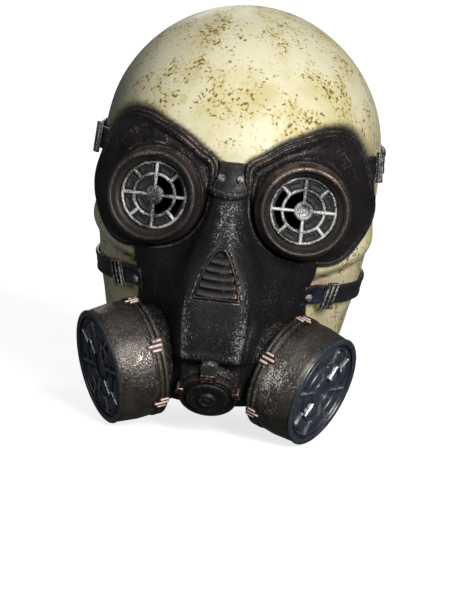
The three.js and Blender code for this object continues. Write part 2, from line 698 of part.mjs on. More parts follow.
// Panel behind a grille, open where the wearer looks out beside the nose
function eyeScreen(sign) {
  const shape = disc(GRILLE_RADIUS - GRILLE_RIM / 2, GRILLE_SIDES);
  const half = degrees(SCREEN_OPEN_SPAN / 2);
  const quarter = Math.PI / 2;
  const inner = GRILLE_RING_RADIUS - GRILLE_BAR / 2;
  const outer = GRILLE_RADIUS - GRILLE_RIM * 2;
  const centre = sign > 0 ? 0 : Math.PI;
  const hole = new THREE.Path([
    ...arcPoints(outer, centre - half, centre + half, SCREEN_ARC_STEPS),
    ...arcPoints(inner, centre + half, centre + quarter, SCREEN_SIDE_STEPS),
    ...arcPoints(GRILLE_HUB_RADIUS / 2, centre + quarter, centre - quarter, SCREEN_HUB_STEPS),
    ...arcPoints(inner, centre - quarter, centre - half, SCREEN_SIDE_STEPS),
  ]);
  shape.holes.push(hole);
  return gogglePlate(shape, SCREEN_THICKNESS, GRILLE_RECESS - SEAT_GAP - SCREEN_THICKNESS);
}

// Levels of the breathing mask
function faceLevel(z) {
  return rowAt(FACE_ROWS, "down", (-FACE_TOP_DROP - z) / FACE_HEIGHT);
}

const faceReach = (share) => HOOD_FRONT + share * MUZZLE_STANDOFF;

// Smallest level within one wall above and below, for the inside
function faceCore(z) {
  const levels = [z - FACE_WALL, z, z + FACE_WALL].map(faceLevel);
  const core = {};
  for (const name of Object.keys(levels[0])) core[name] = Math.min(...levels.map((level) => level[name]));
  return core;
}

// Curve across the face at one level, from edge to edge
function faceCurve(level, z, inset = 0, spanSteps = FACE_SPAN_STEPS) {
  const edgeX = level.edge * MUZZLE_HALF_WIDTH;
  const edge = hoodFront(edgeX, Math.max(z, RIM_Z), FACE_WALL + SEAT_GAP);
  const half = [
    [level.mid * MUZZLE_HALF_WIDTH, faceReach(level.midOut)],
    [level.side * MUZZLE_HALF_WIDTH, faceReach(level.sideOut)],
    [level.root * MUZZLE_HALF_WIDTH, faceReach(level.rootOut)],
    [edgeX, -edge.y],
  ];
  const points = [
    ...half.toReversed().map(([x, reach]) => new THREE.Vector2(-x, -reach)),
    new THREE.Vector2(0, -faceReach(level.midOut) - FACE_CREST_BULGE),
    ...half.map(([x, reach]) => new THREE.Vector2(x, -reach)),
  ];
  const curve = new THREE.SplineCurve(points);
  const steps = (points.length - 1) * spanSteps;
  const places = [];
  for (let i = 0; i <= steps; i += 1) {
    const place = curve.getPoint(i / steps);
    const tangent = curve.getTangent(i / steps);
    places.push(new THREE.Vector3(place.x - tangent.y * inset, place.y + tangent.x * inset, z));
  }
  return places;
}

// Point on the front of the breathing mask
function faceFront(x, z) {
  const places = faceCurve(faceLevel(z), z);
  for (let i = 0; i < places.length - 1; i += 1) {
    const a = places[i];
    const b = places[i + 1];
    if (x >= a.x && x <= b.x) return a.clone().lerp(b, (x - a.x) / (b.x - a.x));
  }
  return places[(places.length - 1) / 2].clone();
}

function faceOuter() {
  const rings = FACE_ROWS.map((row) => {
    const z = -FACE_TOP_DROP - row.down * FACE_HEIGHT;
    const places = faceCurve(row, z);
    const back = (p) => new THREE.Vector3(p.x, p.y + FACE_EDGE_SINK, z);
    return [...places, back(places.at(-1)), back(places[0])];
  });
  return toSolid(loft(rings));
}

// Room inside the breathing mask, open towards the head
function faceInner() {
  const top = WINDOW_TOP_RISE - EYE_DROP;
  const bottom = -FACE_TOP_DROP - FACE_HEIGHT + FACE_WALL;
  const between = FACE_ROWS.map((row) => -FACE_TOP_DROP - row.down * FACE_HEIGHT).filter(
    (z) => z < top - LEVEL_MARGIN && z > bottom + LEVEL_MARGIN,
  );
  const rings = [top, ...between, bottom].map((z) => {
    const places = faceCurve(faceCore(z), z, FACE_WALL, FACE_CORE_STEPS);
    const behind = (p) => new THREE.Vector3(p.x, 0, z);
    return [...places, behind(places.at(-1)), behind(places[0])];
  });
  return toSolid(loft(rings));
}

// Place and axes of a filter: Y out along its axis, Z up across its flange
function filterPlace(sign) {
  const turn = degrees(FILTER_TURN) * sign;
  const droop = degrees(FILTER_DROOP);
  const axis = new THREE.Vector3(
    Math.sin(turn) * Math.cos(droop),
    -Math.cos(turn) * Math.cos(droop),
    -Math.sin(droop),
  );
  const up = new THREE.Vector3(0, 0, 1).projectOnPlane(axis).normalize();
  const across = axis.clone().cross(up);
  const matrix = new THREE.Matrix4().makeBasis(across, axis, up);
  return matrix.setPosition(sign * FILTER_SIDE, -FILTER_AHEAD, -FILTER_DROP);
}

// Short neck from the breathing mask to a filter, or its bore
function filterNeck(sign, radius, length, past) {
  const neck = new THREE.CylinderGeometry(radius, radius * NECK_TAPER, length, ROUND_SIDES);
  neck.translate(0, past - length / 2, 0);
  return toSolid(neck, filterPlace(sign));
}

// Room that a drum keeps free of the breathing mask
function filterRoom(sign) {
  const radius = FILTER_RADIUS + FLANGE_RISE + SEAT_GAP;
  const room = new THREE.CylinderGeometry(radius, radius, FILTER_LENGTH + SEAT_GAP, ROUND_SIDES);
  return toSolid(room.translate(0, (FILTER_LENGTH - SEAT_GAP) / 2, 0), filterPlace(sign));
}

// Drum of a filter, open to its neck and to its face: double flange, crowned
// side, bevelled rim and a ledge that carries the face disc
function filterHousing() {
  const r = FILTER_RADIUS;
  const long = FILTER_LENGTH;
  const flange = r + FLANGE_RISE;
  const pitch = FLANGE_RING + FLANGE_GROOVE;
  const ledge = long - FILTER_FACE_RECESS - FILTER_FACE_THICKNESS - SEAT_GAP;
  const mouth = r - FILTER_BEVEL - FILTER_LIP;
  const bore = NECK_RADIUS - NECK_WALL;
  const profile = [
    [bore, 0],
    [flange, 0],
    [flange, FLANGE_RING],
    [r - FLANGE_GROOVE, FLANGE_RING + FLANGE_GROOVE / 2],
    [flange, pitch],
    [flange, pitch + FLANGE_RING],
    [r - FLANGE_GROOVE, pitch + FLANGE_RING + FLANGE_GROOVE / 2],
    [r, long / 2],
    [r - FILTER_BEVEL / 2, long - FILTER_BEVEL],
    [r - FILTER_BEVEL, long],
    [mouth, long],
    [mouth - FILTER_LIP_FALL, ledge],
    [mouth - FILTER_LIP_FALL - FILTER_LEDGE, ledge],
    [mouth - FILTER_LIP_FALL - FILTER_LEDGE, FILTER_WALL],
    [bore, FILTER_WALL],
    [bore, 0],
  ];
  return new THREE.LatheGeometry(profile.map(([x, h]) => new THREE.Vector2(x, h)), ROUND_SIDES);
}

// Bar of a filter's face between two polar places
function faceBar(fromRadius, fromAngle, toRadius, toAngle) {
  const a = new THREE.Vector2(Math.cos(fromAngle), Math.sin(fromAngle)).multiplyScalar(fromRadius);
  const b = new THREE.Vector2(Math.cos(toAngle), Math.sin(toAngle)).multiplyScalar(toRadius);
  const middle = a.clone().lerp(b, 0.5);
  const along = b.clone().sub(a);
  const bar = new THREE.BoxGeometry(along.length(), FILTER_RIB_RISE * 2, FILTER_RIB);
  bar.rotateY(-along.angle());
  bar.translate(middle.x, 0, middle.y);
  return toSolid(bar);
}

function flatRing(inner, outer, bottom, top, sides) {
  const corners = [
    [inner, bottom],
    [outer, bottom],
    [outer, top],
    [inner, top],
    [inner, bottom],
  ];
  return new THREE.LatheGeometry(corners.map(([r, h]) => new THREE.Vector2(r, h)), sides);
}

// Web of raised ribs on the disc that closes a filter
function filterFace() {
  const radius = FILTER_RADIUS - FILTER_BEVEL - FILTER_LIP - FILTER_LIP_FALL - SEAT_GAP;
  const disc = new THREE.CylinderGeometry(radius, radius, FILTER_FACE_THICKNESS, ROUND_SIDES);
  const web = [toSolid(disc.translate(0, -FILTER_FACE_THICKNESS / 2, 0))];
  const [hub, middle, rim] = FILTER_RING_SHARES.map((share) => share * (radius - FILTER_WEB_MARGIN));
  for (const ring of [hub, middle, rim]) {
    web.push(toSolid(flatRing(ring - FILTER_RIB, ring, -FILTER_WEB_SINK, FILTER_RIB_RISE, WEB_SIDES)));
  }
  for (let i = 0; i < FILTER_INNER_SPOKES; i += 1) {
    const angle = degrees((360 / FILTER_INNER_SPOKES) * i);
    web.push(faceBar(hub - FILTER_RIB / 2, angle, middle - FILTER_RIB / 2, angle));
  }
  for (let i = 0; i < FILTER_OUTER_SPOKES; i += 1) {
    const step = degrees(360 / FILTER_OUTER_SPOKES);
    const lean = i % 2 === 0 ? step : -step;
    const foot = (i + (i % 2 === 0 ? 0 : 1)) * step;
    web.push(faceBar(middle - FILTER_RIB / 2, foot, rim - FILTER_RIB / 2, foot + lean));
  }
  return toGeometry(unite(web)).translate(0, FILTER_LENGTH - FILTER_FACE_RECESS, 0);
}

// Clip over the flange: a long bar between two short ones, joined side by side
function filterClasp(sign, number) {
  const climb = degrees(CLASP_START + (360 / CLASP_COUNT) * number);
  const angle = sign > 0 ? climb : Math.PI - climb;
  const long = CLASP_LONG / 2;
  const short = CLASP_SHORT / 2;
  const near = CLASP_BAR_WIDTH / 2;
  const far = near + CLASP_BAR_WIDTH + CLASP_SLIT;
  const quarter = [
    [far, short],
    [near, short],
    [near, long],
  ];
  const half = [...quarter, ...quarter.toReversed().map(([x, y]) => [-x, y])];
  const outline = [...half, ...half.map(([x, y]) => [-x, -y])];
  const shape = new THREE.Shape(outline.map(([x, y]) => new THREE.Vector2(x, y)));
  const plate = new THREE.ExtrudeGeometry(shape, { depth: CLASP_RISE, bevelEnabled: false });
  plate.rotateY(Math.PI / 2).translate(FILTER_RADIUS + FLANGE_RISE + SEAT_GAP, CLASP_AHEAD, 0);
  return plate.rotateY(-angle);
}

// Place and axes of the outlet valve: Y out along its axis
function valvePlace() {
  const droop = degrees(VALVE_DROOP);
  const axis = new THREE.Vector3(0, -Math.cos(droop), -Math.sin(droop));
  const across = new THREE.Vector3(-1, 0, 0);
  const matrix = new THREE.Matrix4().makeBasis(across, axis, across.clone().cross(axis));
  return matrix.setPosition(0, -VALVE_AHEAD, -VALVE_DROP);
}

const VALVE_SEAT = -VALVE_DEPTH - SEAT_GAP;

function valveBoss() {
  const top = COLLAR_RADIUS + VALVE_BOSS_MARGIN;
  const boss = new THREE.CylinderGeometry(top, top + VALVE_BOSS_FLARE, VALVE_BOSS_DEPTH, ROUND_SIDES);
  return toSolid(boss.translate(0, VALVE_SEAT - VALVE_BOSS_DEPTH / 2, 0), valvePlace());
}

function valveCap() {
  const button = VALVE_BUTTON_RADIUS;
  const profile = [
    [0, 0],
    ...CAP_ROWS.map(({ past, up }) => [button + past * (VALVE_RADIUS - button), up * VALVE_DEPTH]),
    ...BUTTON_ROWS.map(({ across, up }) => [button * across, up * VALVE_DEPTH]),
  ];
  return new THREE.LatheGeometry(profile.map(([r, h]) => new THREE.Vector2(r, h - VALVE_DEPTH)), VALVE_SIDES);
}

// Collar round the cap, with a lug at each side and one at the top
function valveCollar() {
  const back = VALVE_SEAT + SEAT_GAP;
  const ring = flatRing(COLLAR_RADIUS - COLLAR_WALL, COLLAR_RADIUS, back, back + COLLAR_DEPTH, VALVE_SIDES);
  const pieces = [toSolid(ring)];
  for (const angle of LUG_ANGLES) {
    const lug = new THREE.BoxGeometry(LUG_LENGTH, COLLAR_DEPTH + LUG_RISE, LUG_WIDTH);
    lug.translate(COLLAR_RADIUS - COLLAR_WALL + LUG_LENGTH / 2, back + (COLLAR_DEPTH + LUG_RISE) / 2, 0);
    pieces.push(toSolid(lug.rotateY(-degrees(angle))));
  }
  return toGeometry(unite(pieces));
}

// Curved bar that joins the goggles over the nose
function bridgeBar(grow) {
  const rings = [];
  for (let i = 0; i <= BRIDGE_STEPS; i += 1) {
    const share = (i / BRIDGE_STEPS) * 2 - 1;
    const x = share * (BRIDGE_HALF_WIDTH + grow);
    const z = -BRIDGE_DROP - BRIDGE_SAG * (1 - share * share);
    const half = BRIDGE_HEIGHT / 2 + grow;
    const back = faceFront(x, z).y + BRIDGE_SINK + grow;
    const front = back - BRIDGE_THICKNESS - 2 * grow;
    rings.push([
      new THREE.Vector3(x, back, z - half),
      new THREE.Vector3(x, front + BRIDGE_BEVEL, z - half),
      new THREE.Vector3(x, front, z - half + BRIDGE_BEVEL),
      new THREE.Vector3(x, front, z + half - BRIDGE_BEVEL),
      new THREE.Vector3(x, front + BRIDGE_BEVEL, z + half),
      new THREE.Vector3(x, back, z + half),
    ]);
  }
  return toSolid(loft(rings));
}

function bridgeStud(sign, grow) {
  const x = sign * STUD_HALF_SPACING;
  const seat = faceFront(x, -STUD_DROP).y + BRIDGE_SINK + grow;
  const height = STUD_HEIGHT + BRIDGE_SINK + 2 * grow;
  const top = STUD_RADIUS * STUD_TAPER + grow;
  const stud = new THREE.CylinderGeometry(top, STUD_RADIUS + grow, height, SMALL_SIDES);
  stud.rotateX(Math.PI / 2);
  return toSolid(stud.translate(x, seat - height / 2, -STUD_DROP));
}

// Outline of the louvre, moved out by one distance, as a prism off the nose
function ventPrism(grow, from, to) {
  const half = VENT_ROWS.map((row) => {
    const x = row.half * VENT_HALF_WIDTH + grow * VENT_SIDE_LEAN;
    return new THREE.Vector2(x, -row.down * VENT_HEIGHT - grow * (2 * row.down - 1));
  });
  const shape = new THREE.Shape([...half, ...half.toReversed().map(({ x, y }) => new THREE.Vector2(-x, y))]);
  const geometry = new THREE.ExtrudeGeometry(shape, { depth: to - from, bevelEnabled: false });
  geometry.translate(0, 0, from).rotateX(Math.PI / 2);
  return toSolid(geometry, ventPlace());
}

function ventPlace() {
  const top = faceFront(0, -VENT_TOP_DROP);
  const bottom = faceFront(0, -VENT_TOP_DROP - VENT_HEIGHT);
  const tilt = Math.atan2(top.y - bottom.y, VENT_HEIGHT);
  const matrix = new THREE.Matrix4().makeRotationX(tilt);
  return matrix.setPosition(0, top.y, -VENT_TOP_DROP);
}

function noseVent() {
  const plate = ventPrism(0, -VENT_SINK, 0);
  const hollow = ventPrism(-VENT_RIM, -VENT_SINK - CUT_OVERLAP, VENT_THICKNESS + CUT_OVERLAP);
  const rim = without(ventPrism(0, -VENT_SINK, VENT_THICKNESS), [hollow]);
  const slats = [];
  const room = ventPrism(-VENT_RIM / 2, -VENT_SINK, VENT_THICKNESS);
  const pitch = (VENT_HEIGHT - VENT_RIM * 2) / (VENT_SLATS + 1 / 2);
  for (let i = 0; i < VENT_SLATS; i += 1) {
    const slat = new THREE.BoxGeometry(VENT_HALF_WIDTH * 2, VENT_THICKNESS, VENT_SLAT_HEIGHT);
    slat.rotateX(-degrees(VENT_SLAT_TILT));
    slat.translate(0, -VENT_THICKNESS / 4, -VENT_HEIGHT + VENT_RIM + pitch * (i + 1 / 2));
    slats.push(toSolid(slat, ventPlace()).intersect(room));
  }
  return unite([plate, rim, ...slats]);
}

// Band on the hood between two turns, its height and lift following a rule
function band({ from, to, steps, width, thickness, heightAt, liftAt }) {
  const rings = [];
  for (let i = 0; i <= steps; i += 1) {
    const share = i / steps;
    const turn = THREE.MathUtils.lerp(from, to, share);
    const z = heightAt(share);
    const corner = (above, lift) =>
      hoodPoint(turn, z + above).addScaledVector(hoodNormal(turn, z + above), lift);
    const lift = liftAt(share);
    rings.push([
      corner(-width / 2, lift),
      corner(width / 2, lift),
      corner(width / 2, lift + thickness),
      corner(-width / 2, lift + thickness),
    ]);
  }
  return toSolid(loft(rings));
}

const BROW = {
  name: "brow",
  width: BROW_STRAP_WIDTH,
  drop: BROW_STRAP_DROP,
  backDrop: BROW_STRAP_BACK_DROP,
  buckleTurn: degrees(BROW_BUCKLE_TURN),
  tabTurn: degrees(BROW_TAB_TURN),
  tabLift: STRAP_LIFT,
};
const CHEEK = {
  name: "cheek",
  width: CHEEK_STRAP_WIDTH,
  drop: CHEEK_STRAP_DROP,
  backDrop: CHEEK_STRAP_BACK_DROP,
  buckleTurn: degrees(CHEEK_BUCKLE_TURN),
  tabTurn: degrees(CHEEK_TAB_TURN),
  tabLift: FACE_WALL + SEAT_GAP * 2 + STRAP_LIFT,
};

function buttTurn(strap) {
  return STRAP_BUTT_GAP / 2 / hoodRadius(strap.buckleTurn, -strap.drop, 0);
}

// Strap from one buckle round the back of the hood to the other
function backStrap(strap) {
  const start = strap.buckleTurn + buttTurn(strap);
  return band({
    from: start,
    to: 2 * Math.PI - start,
    steps: STRAP_STEPS,
    width: strap.width,
    thickness: STRAP_THICKNESS,
    heightAt: (share) => -THREE.MathUtils.lerp(strap.drop, strap.backDrop, Math.sin(Math.PI * share) ** 2),
    liftAt: () => STRAP_LIFT,
  });
}

// Short end fastened to the mask, or the notch that it takes out of a piece
function strapTab(strap, sign, grow = 0, above = 0) {
  const end = strap.buckleTurn - buttTurn(strap) + grow / HOOD_HALF_WIDTH;
  const start = strap.tabTurn - grow / HOOD_HALF_WIDTH;
  return band({
    from: sign * start,
    to: sign * end,
    steps: TAB_STEPS,
    width: strap.width + 2 * grow,
    thickness: STRAP_THICKNESS + 2 * grow + above,
    heightAt: () => -strap.drop,
    liftAt: (share) => THREE.MathUtils.lerp(strap.tabLift, STRAP_LIFT, Math.min(share * 2, 1)) - grow,
  });
}

// Place on a strap: Y out from the hood, X along the strap, Z up across it
function strapPlace(strap, sign, turn, lift) {
  const z = -strap.drop;
  const out = hoodNormal(sign * turn, z);
  const along = new THREE.Vector3(Math.cos(turn), sign * Math.sin(turn), 0).projectOnPlane(out).normalize();
  const matrix = new THREE.Matrix4().makeBasis(along, out, along.clone().cross(out));
  return matrix.setPosition(hoodPoint(sign * turn, z).addScaledVector(out, lift));
}

// Flat ladder buckle over the butted ends, with two slots
function buckle(strap) {
  const tall = strap.width + 2 * BUCKLE_MARGIN;
  const plate = new THREE.BoxGeometry(BUCKLE_LENGTH, BUCKLE_THICKNESS, tall);
  const slotLength = (BUCKLE_LENGTH - 3 * BUCKLE_BAR) / 2;
  const slots = [-1, 1].map((side) => {
    const slot = new THREE.BoxGeometry(slotLength, BUCKLE_THICKNESS * 2, tall - 2 * BUCKLE_BAR);
    return toSolid(slot.translate((side * (BUCKLE_BAR + slotLength)) / 2, 0, 0));
  });
  return toGeometry(without(toSolid(plate), slots)).translate(0, BUCKLE_THICKNESS / 2, 0);
}

function rivet() {
  const top = RIVET_RADIUS * RIVET_TAPER;
  const head = new THREE.CylinderGeometry(top, RIVET_RADIUS, RIVET_HEIGHT, SMALL_SIDES);
  return head.translate(0, RIVET_HEIGHT / 2, 0);
}

function facePiece(hoodCutter, tabCutters) {
  const body = [faceOuter(), valveBoss()];
  const cutters = [faceInner(), hoodCutter];
  for (const { sign } of SIDES) {
    body.push(filterNeck(sign, NECK_RADIUS, NECK_LENGTH, -SEAT_GAP));
    cutters.push(filterNeck(sign, NECK_RADIUS - NECK_WALL, NECK_LENGTH + CUT_OVERLAP * 2, CUT_OVERLAP));
    cutters.push(filterRoom(sign), framePlug(sign), bridgeStud(sign, SEAT_GAP));
  }
  cutters.push(bridgeBar(SEAT_GAP), ventPrism(SEAT_GAP, -VENT_SINK - SEAT_GAP, VENT_THICKNESS + CUT_OVERLAP));
  return without(unite(body), [...cutters, ...tabCutters]);
}

function addMesh(parent, name, geometry, { color, roughness, metalness }) {
  const mesh = new THREE.Mesh(geometry, new THREE.MeshStandardMaterial({ color, roughness, metalness }));
  mesh.name = name;
  parent.add(mesh);
}

function addGroup(parent, matrix) {
  const child = new THREE.Group();
  matrix.decompose(child.position, child.quaternion, child.scale);
  parent.add(child);
  return child;
}

function addGoggle(parent, side, hoodCutter) {
  const { name, sign } = side;
  const frame = goggleFrame(sign, hoodCutter, strapTab(BROW, sign, SEAT_GAP, CUT_OVERLAP));
  addMesh(parent, `goggle_frame_${name}`, toGeometry(frame), RUBBER);
  const goggle = addGroup(parent, eyePlace(sign));
  addMesh(goggle, `eye_ring_${name}`, eyeRing(), BRONZE);
  addMesh(goggle, `eye_grille_${name}`, eyeGrille(), SILVER);
  addMesh(goggle, `eye_screen_${name}`, eyeScreen(sign), GAUZE);
}

function addFilter(parent, side) {
  const { name, sign } = side;
  const filter = addGroup(parent, filterPlace(sign));
  addMesh(filter, `filter_housing_${name}`, filterHousing(), BRONZE);
  addMesh(filter, `filter_face_${name}`, filterFace(), BLUE_BLACK);
  for (let i = 0; i < CLASP_COUNT; i += 1) {
    addMesh(filter, `filter_clasp_${name}_${i + 1}`, filterClasp(sign, i), COPPER);
  }
}

function addStrap(parent, strap) {
  addMesh(parent, `${strap.name}_strap`, toGeometry(backStrap(strap)), BLUE_BLACK);
  for (const { name, sign } of SIDES) {
    addMesh(parent, `${strap.name}_tab_${name}`, toGeometry(strapTab(strap, sign)), BLUE_BLACK);
    const over = STRAP_LIFT + STRAP_THICKNESS + SEAT_GAP;
    const place = addGroup(parent, strapPlace(strap, sign, strap.buckleTurn, over));
    addMesh(place, `${strap.name}_buckle_${name}`, buckle(strap), SILVER);
  }
}

function addRivet(parent, side) {
  const turn = CHEEK.tabTurn + RIVET_INSET / HOOD_HALF_WIDTH;
  const place = strapPlace(CHEEK, side.sign, turn, CHEEK.tabLift + STRAP_THICKNESS + SEAT_GAP);
  addMesh(addGroup(parent, place), `cheek_rivet_${side.name}`, rivet(), COPPER);
}

function buildMask() {
  const mask = new THREE.Group();
  const hoodCutter = hoodBody(SEAT_GAP, RIM_Z - SEAT_GAP);
  const tabCutters = SIDES.map(({ sign }) => strapTab(CHEEK, sign, SEAT_GAP, CUT_OVERLAP));
  addMesh(mask, "skull_hood", toGeometry(skullHood()), BONE);
  addMesh(mask, "face_piece", toGeometry(facePiece(hoodCutter, tabCutters)), RUBBER);
  for (const side of SIDES) {
    addGoggle(mask, side, hoodCutter);
    addFilter(mask, side);
    addMesh(mask, `bridge_stud_${side.name}`, toGeometry(bridgeStud(side.sign, 0)), SILVER);
    addRivet(mask, side);
  }
  addMesh(mask, "bridge_bar", toGeometry(bridgeBar(0)), RUBBER);
  addMesh(mask, "nose_vent", toGeometry(noseVent()), BRONZE);
  const valve = addGroup(mask, valvePlace());
  addMesh(valve, "valve_cap", valveCap(), BLUE_BLACK);
  addMesh(valve, "valve_collar", valveCollar(), BRONZE);
  for (const strap of [BROW, CHEEK]) addStrap(mask, strap);
  return mask;
}

export default buildMask();
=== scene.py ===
"""Dressed model of a moulded skull hood that carries a goggled breathing mask.

The frame is in metres with +Z up, the face looks along -Y and +X is the
viewer's right. Forms are worked out in millimetres, with the same sizes as the
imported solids, and each piece is brought to metres when it is made an object.
"""

import logging
import math
from collections.abc import Callable, Iterable, Sequence
from dataclasses import dataclass, field
from enum import Enum
from functools import cached_property
from typing import NamedTuple

import bmesh
import bpy
from bmesh.types import BMesh, BMVert, BMEdge
from mathutils import Matrix, Vector, noise


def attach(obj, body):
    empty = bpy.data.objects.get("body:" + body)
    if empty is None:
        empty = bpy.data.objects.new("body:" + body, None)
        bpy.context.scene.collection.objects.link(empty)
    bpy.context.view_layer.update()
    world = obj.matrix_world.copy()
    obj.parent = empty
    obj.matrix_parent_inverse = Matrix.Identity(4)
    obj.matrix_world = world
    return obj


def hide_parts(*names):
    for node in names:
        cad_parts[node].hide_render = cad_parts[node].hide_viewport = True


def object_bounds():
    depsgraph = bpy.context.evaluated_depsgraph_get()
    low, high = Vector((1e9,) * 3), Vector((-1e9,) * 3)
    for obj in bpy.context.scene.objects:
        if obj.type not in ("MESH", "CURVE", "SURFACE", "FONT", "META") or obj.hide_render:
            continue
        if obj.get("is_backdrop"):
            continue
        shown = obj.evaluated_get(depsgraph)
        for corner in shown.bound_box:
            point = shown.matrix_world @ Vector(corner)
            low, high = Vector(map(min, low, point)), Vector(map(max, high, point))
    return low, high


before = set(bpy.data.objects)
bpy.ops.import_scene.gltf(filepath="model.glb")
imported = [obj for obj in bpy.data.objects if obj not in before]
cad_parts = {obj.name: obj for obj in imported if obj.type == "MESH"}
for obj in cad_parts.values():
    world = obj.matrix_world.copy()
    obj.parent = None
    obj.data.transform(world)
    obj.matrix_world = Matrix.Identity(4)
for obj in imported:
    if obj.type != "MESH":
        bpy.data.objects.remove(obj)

log = logging.getLogger("mask")

MM = 0.001
FULL_TURN = 2 * math.pi
BODY = "root"
NOISE_SEED = 7


class Side(Enum):
    """Side of the mask, as the sign of X."""

    LEFT = -1
    RIGHT = 1

    @property
    def word(self) -> str:
        """Name of the side in the names of pieces."""
        return self.name.lower()


# Numbers and curves


def clamp(value: float, low: float = 0.0, high: float = 1.0) -> float:
    """Value kept between two limits."""
    return max(low, min(high, value))


def mix(start: float, end: float, share: float) -> float:
    """Value at a share of the way from start to end."""
    return start + (end - start) * share


def fade(start: float, end: float, value: float) -> float:
    """Smooth climb from 0 at start to 1 at end; start may lie above end."""
    share = clamp((value - start) / (end - start))
    return share * share * (3 - 2 * share)


def bump(centre: float, reach: float, value: float) -> float:
    """Bell of height 1 about a centre, with a given reach."""
    return math.exp(-(((value - centre) / reach) ** 2))


def row_at(rows: Sequence[NamedTuple], at: float) -> NamedTuple:
    """Smooth value of every column of a table.

    Args:
        rows: Table in rising order of its first column.
        at: Value of the first column.

    Returns:
        A row of the same kind.
    """
    last = len(rows) - 1
    i = 0
    while i < last - 1 and at > rows[i + 1][0]:
        i += 1
    a, b = rows[i], rows[i + 1]
    before, after = rows[max(i - 1, 0)], rows[min(i + 2, last)]
    span = b[0] - a[0]
    t = clamp((at - a[0]) / span)
    slope_a = span / (b[0] - before[0])
    slope_b = span / (after[0] - a[0])
    cube, square = t**3, t * t
    values = [
        (2 * cube - 3 * square + 1) * a[k]
        + (cube - 2 * square + t) * (b[k] - before[k]) * slope_a
        + (3 * square - 2 * cube) * b[k]
        + (cube - square) * (after[k] - a[k]) * slope_b
        for k in range(len(a))
    ]
    return type(a)(*values)


def spline(points: Sequence[Vector], share: float) -> Vector:
    """Point of a smooth curve through given points.

    Args:
        points: Points that the curve passes.
        share: Share of the way by number of points.

    Returns:
        The point.
    """
    last = len(points) - 1
    place = clamp(share) * last
    i = min(int(place), last - 1)
    t = place - i
    p0, p1 = points[max(i - 1, 0)], points[i]
    p2, p3 = points[i + 1], points[min(i + 2, last)]
    v0, v1 = (p2 - p0) * 0.5, (p3 - p1) * 0.5
    return (
        (2 * p1 - 2 * p2 + v0 + v1) * t**3
        + (-3 * p1 + 3 * p2 - 2 * v0 - v1) * t * t
        + v0 * t
        + p1
    )


def along_line(points: Sequence[Vector], count: int) -> list[Vector]:
    """Points at even steps along a line of many short pieces.

    Args:
        points: The line.
        count: Number of steps.

    Returns:
        One point more than the steps.
    """
    lengths = [0.0]
    for a, b in zip(points, points[1:]):
        lengths.append(lengths[-1] + (b - a).length)
    found = []
    piece = 0
    for step in range(count + 1):
        want = lengths[-1] * step / count
        while piece < len(points) - 2 and lengths[piece + 1] < want:
            piece += 1
        span = max(lengths[piece + 1] - lengths[piece], 1e-9)
        share = clamp((want - lengths[piece]) / span)
        found.append(points[piece].lerp(points[piece + 1], share))
    return found


Profile = Sequence[tuple[float, float]]


def soften(corners: Profile, reach: float, steps: int = 3) -> list[tuple[float, float]]:
    """Line with its inner corners rounded.

    Args:
        corners: Corner points, the two ends included.
        reach: How far from a corner its curve starts.
        steps: Pieces of each curve.

    Returns:
        The rounded line.
    """
    points = [Vector(corner) for corner in corners]
    rounded = [points[0]]
    for before, corner, after in zip(points, points[1:], points[2:]):
        back, ahead = before - corner, after - corner
        start = corner + back.normalized() * min(reach, back.length * 0.45)
        end = corner + ahead.normalized() * min(reach, ahead.length * 0.45)
        for step in range(steps + 1):
            t = step / steps
            rounded.append(start.lerp(corner, t).lerp(corner.lerp(end, t), t))
    rounded.append(points[-1])
    return [(point.x, point.y) for point in rounded]


# Meshes


def loft(
    sections: Sequence[Sequence[Vector]],
    closed: bool = True,
    ring: bool = False,
    caps: bool = False,
) -> BMesh:
    """Skin made by drawing one outline on from section to section.

    Args:
        sections: Outlines with the same number of points, in order.
        closed: Whether each outline is a closed ring.
        ring: Whether the last section joins the first.
        caps: Whether the two ends are closed.

    Returns:
        The skin.
    """
    bm = bmesh.new()
    order = bm.verts.layers.int.new("order")
    if closed:
        bmesh.ops.create_circle(bm, segments=len(sections[0]), radius=1.0)
    else:
        chain = [bm.verts.new(point) for point in sections[0]]
        for pair in zip(chain, chain[1:]):
            bm.edges.new(pair)
    bm.verts.ensure_lookup_table()
    for number, vert in enumerate(bm.verts):
        vert[order] = number
        vert.co = sections[0][number]
    first = list(bm.edges)
    edges = first
    for section in [*sections[1:], *([sections[0]] if ring else [])]:
        made = bmesh.ops.extrude_edge_only(bm, edges=edges)["geom"]
        edges = [item for item in made if isinstance(item, BMEdge)]
        for vert in made:
            if isinstance(vert, BMVert):
                vert.co = section[vert[order]]
    if ring:
        bmesh.ops.remove_doubles(bm, verts=bm.verts, dist=1e-5)
    elif caps:
        bmesh.ops.contextual_create(bm, geom=first)
        bmesh.ops.contextual_create(bm, geom=edges)
    bm.verts.layers.int.remove(order)
    return bm


def lathe(profile: Profile, segments: int = 96) -> BMesh:
    """Round body about the Y axis.

    Args:
        profile: Radius and height of each point.
        segments: Steps of the full turn.

    Returns:
        The body.
    """
    bm = bmesh.new()
    chain = [bm.verts.new((radius, height, 0.0)) for radius, height in profile]
    edges = [bm.edges.new(pair) for pair in zip(chain, chain[1:])]
    bmesh.ops.spin(
        bm,
        geom=[*chain, *edges],
        cent=(0, 0, 0),
        axis=(0, 1, 0),
        dvec=(0, 0, 0),
        angle=FULL_TURN,
        steps=segments,
        use_merge=True,
        use_normal_flip=False,
        use_duplicate=False,
    )
    bmesh.ops.remove_doubles(bm, verts=bm.verts, dist=1e-4)
    return bm


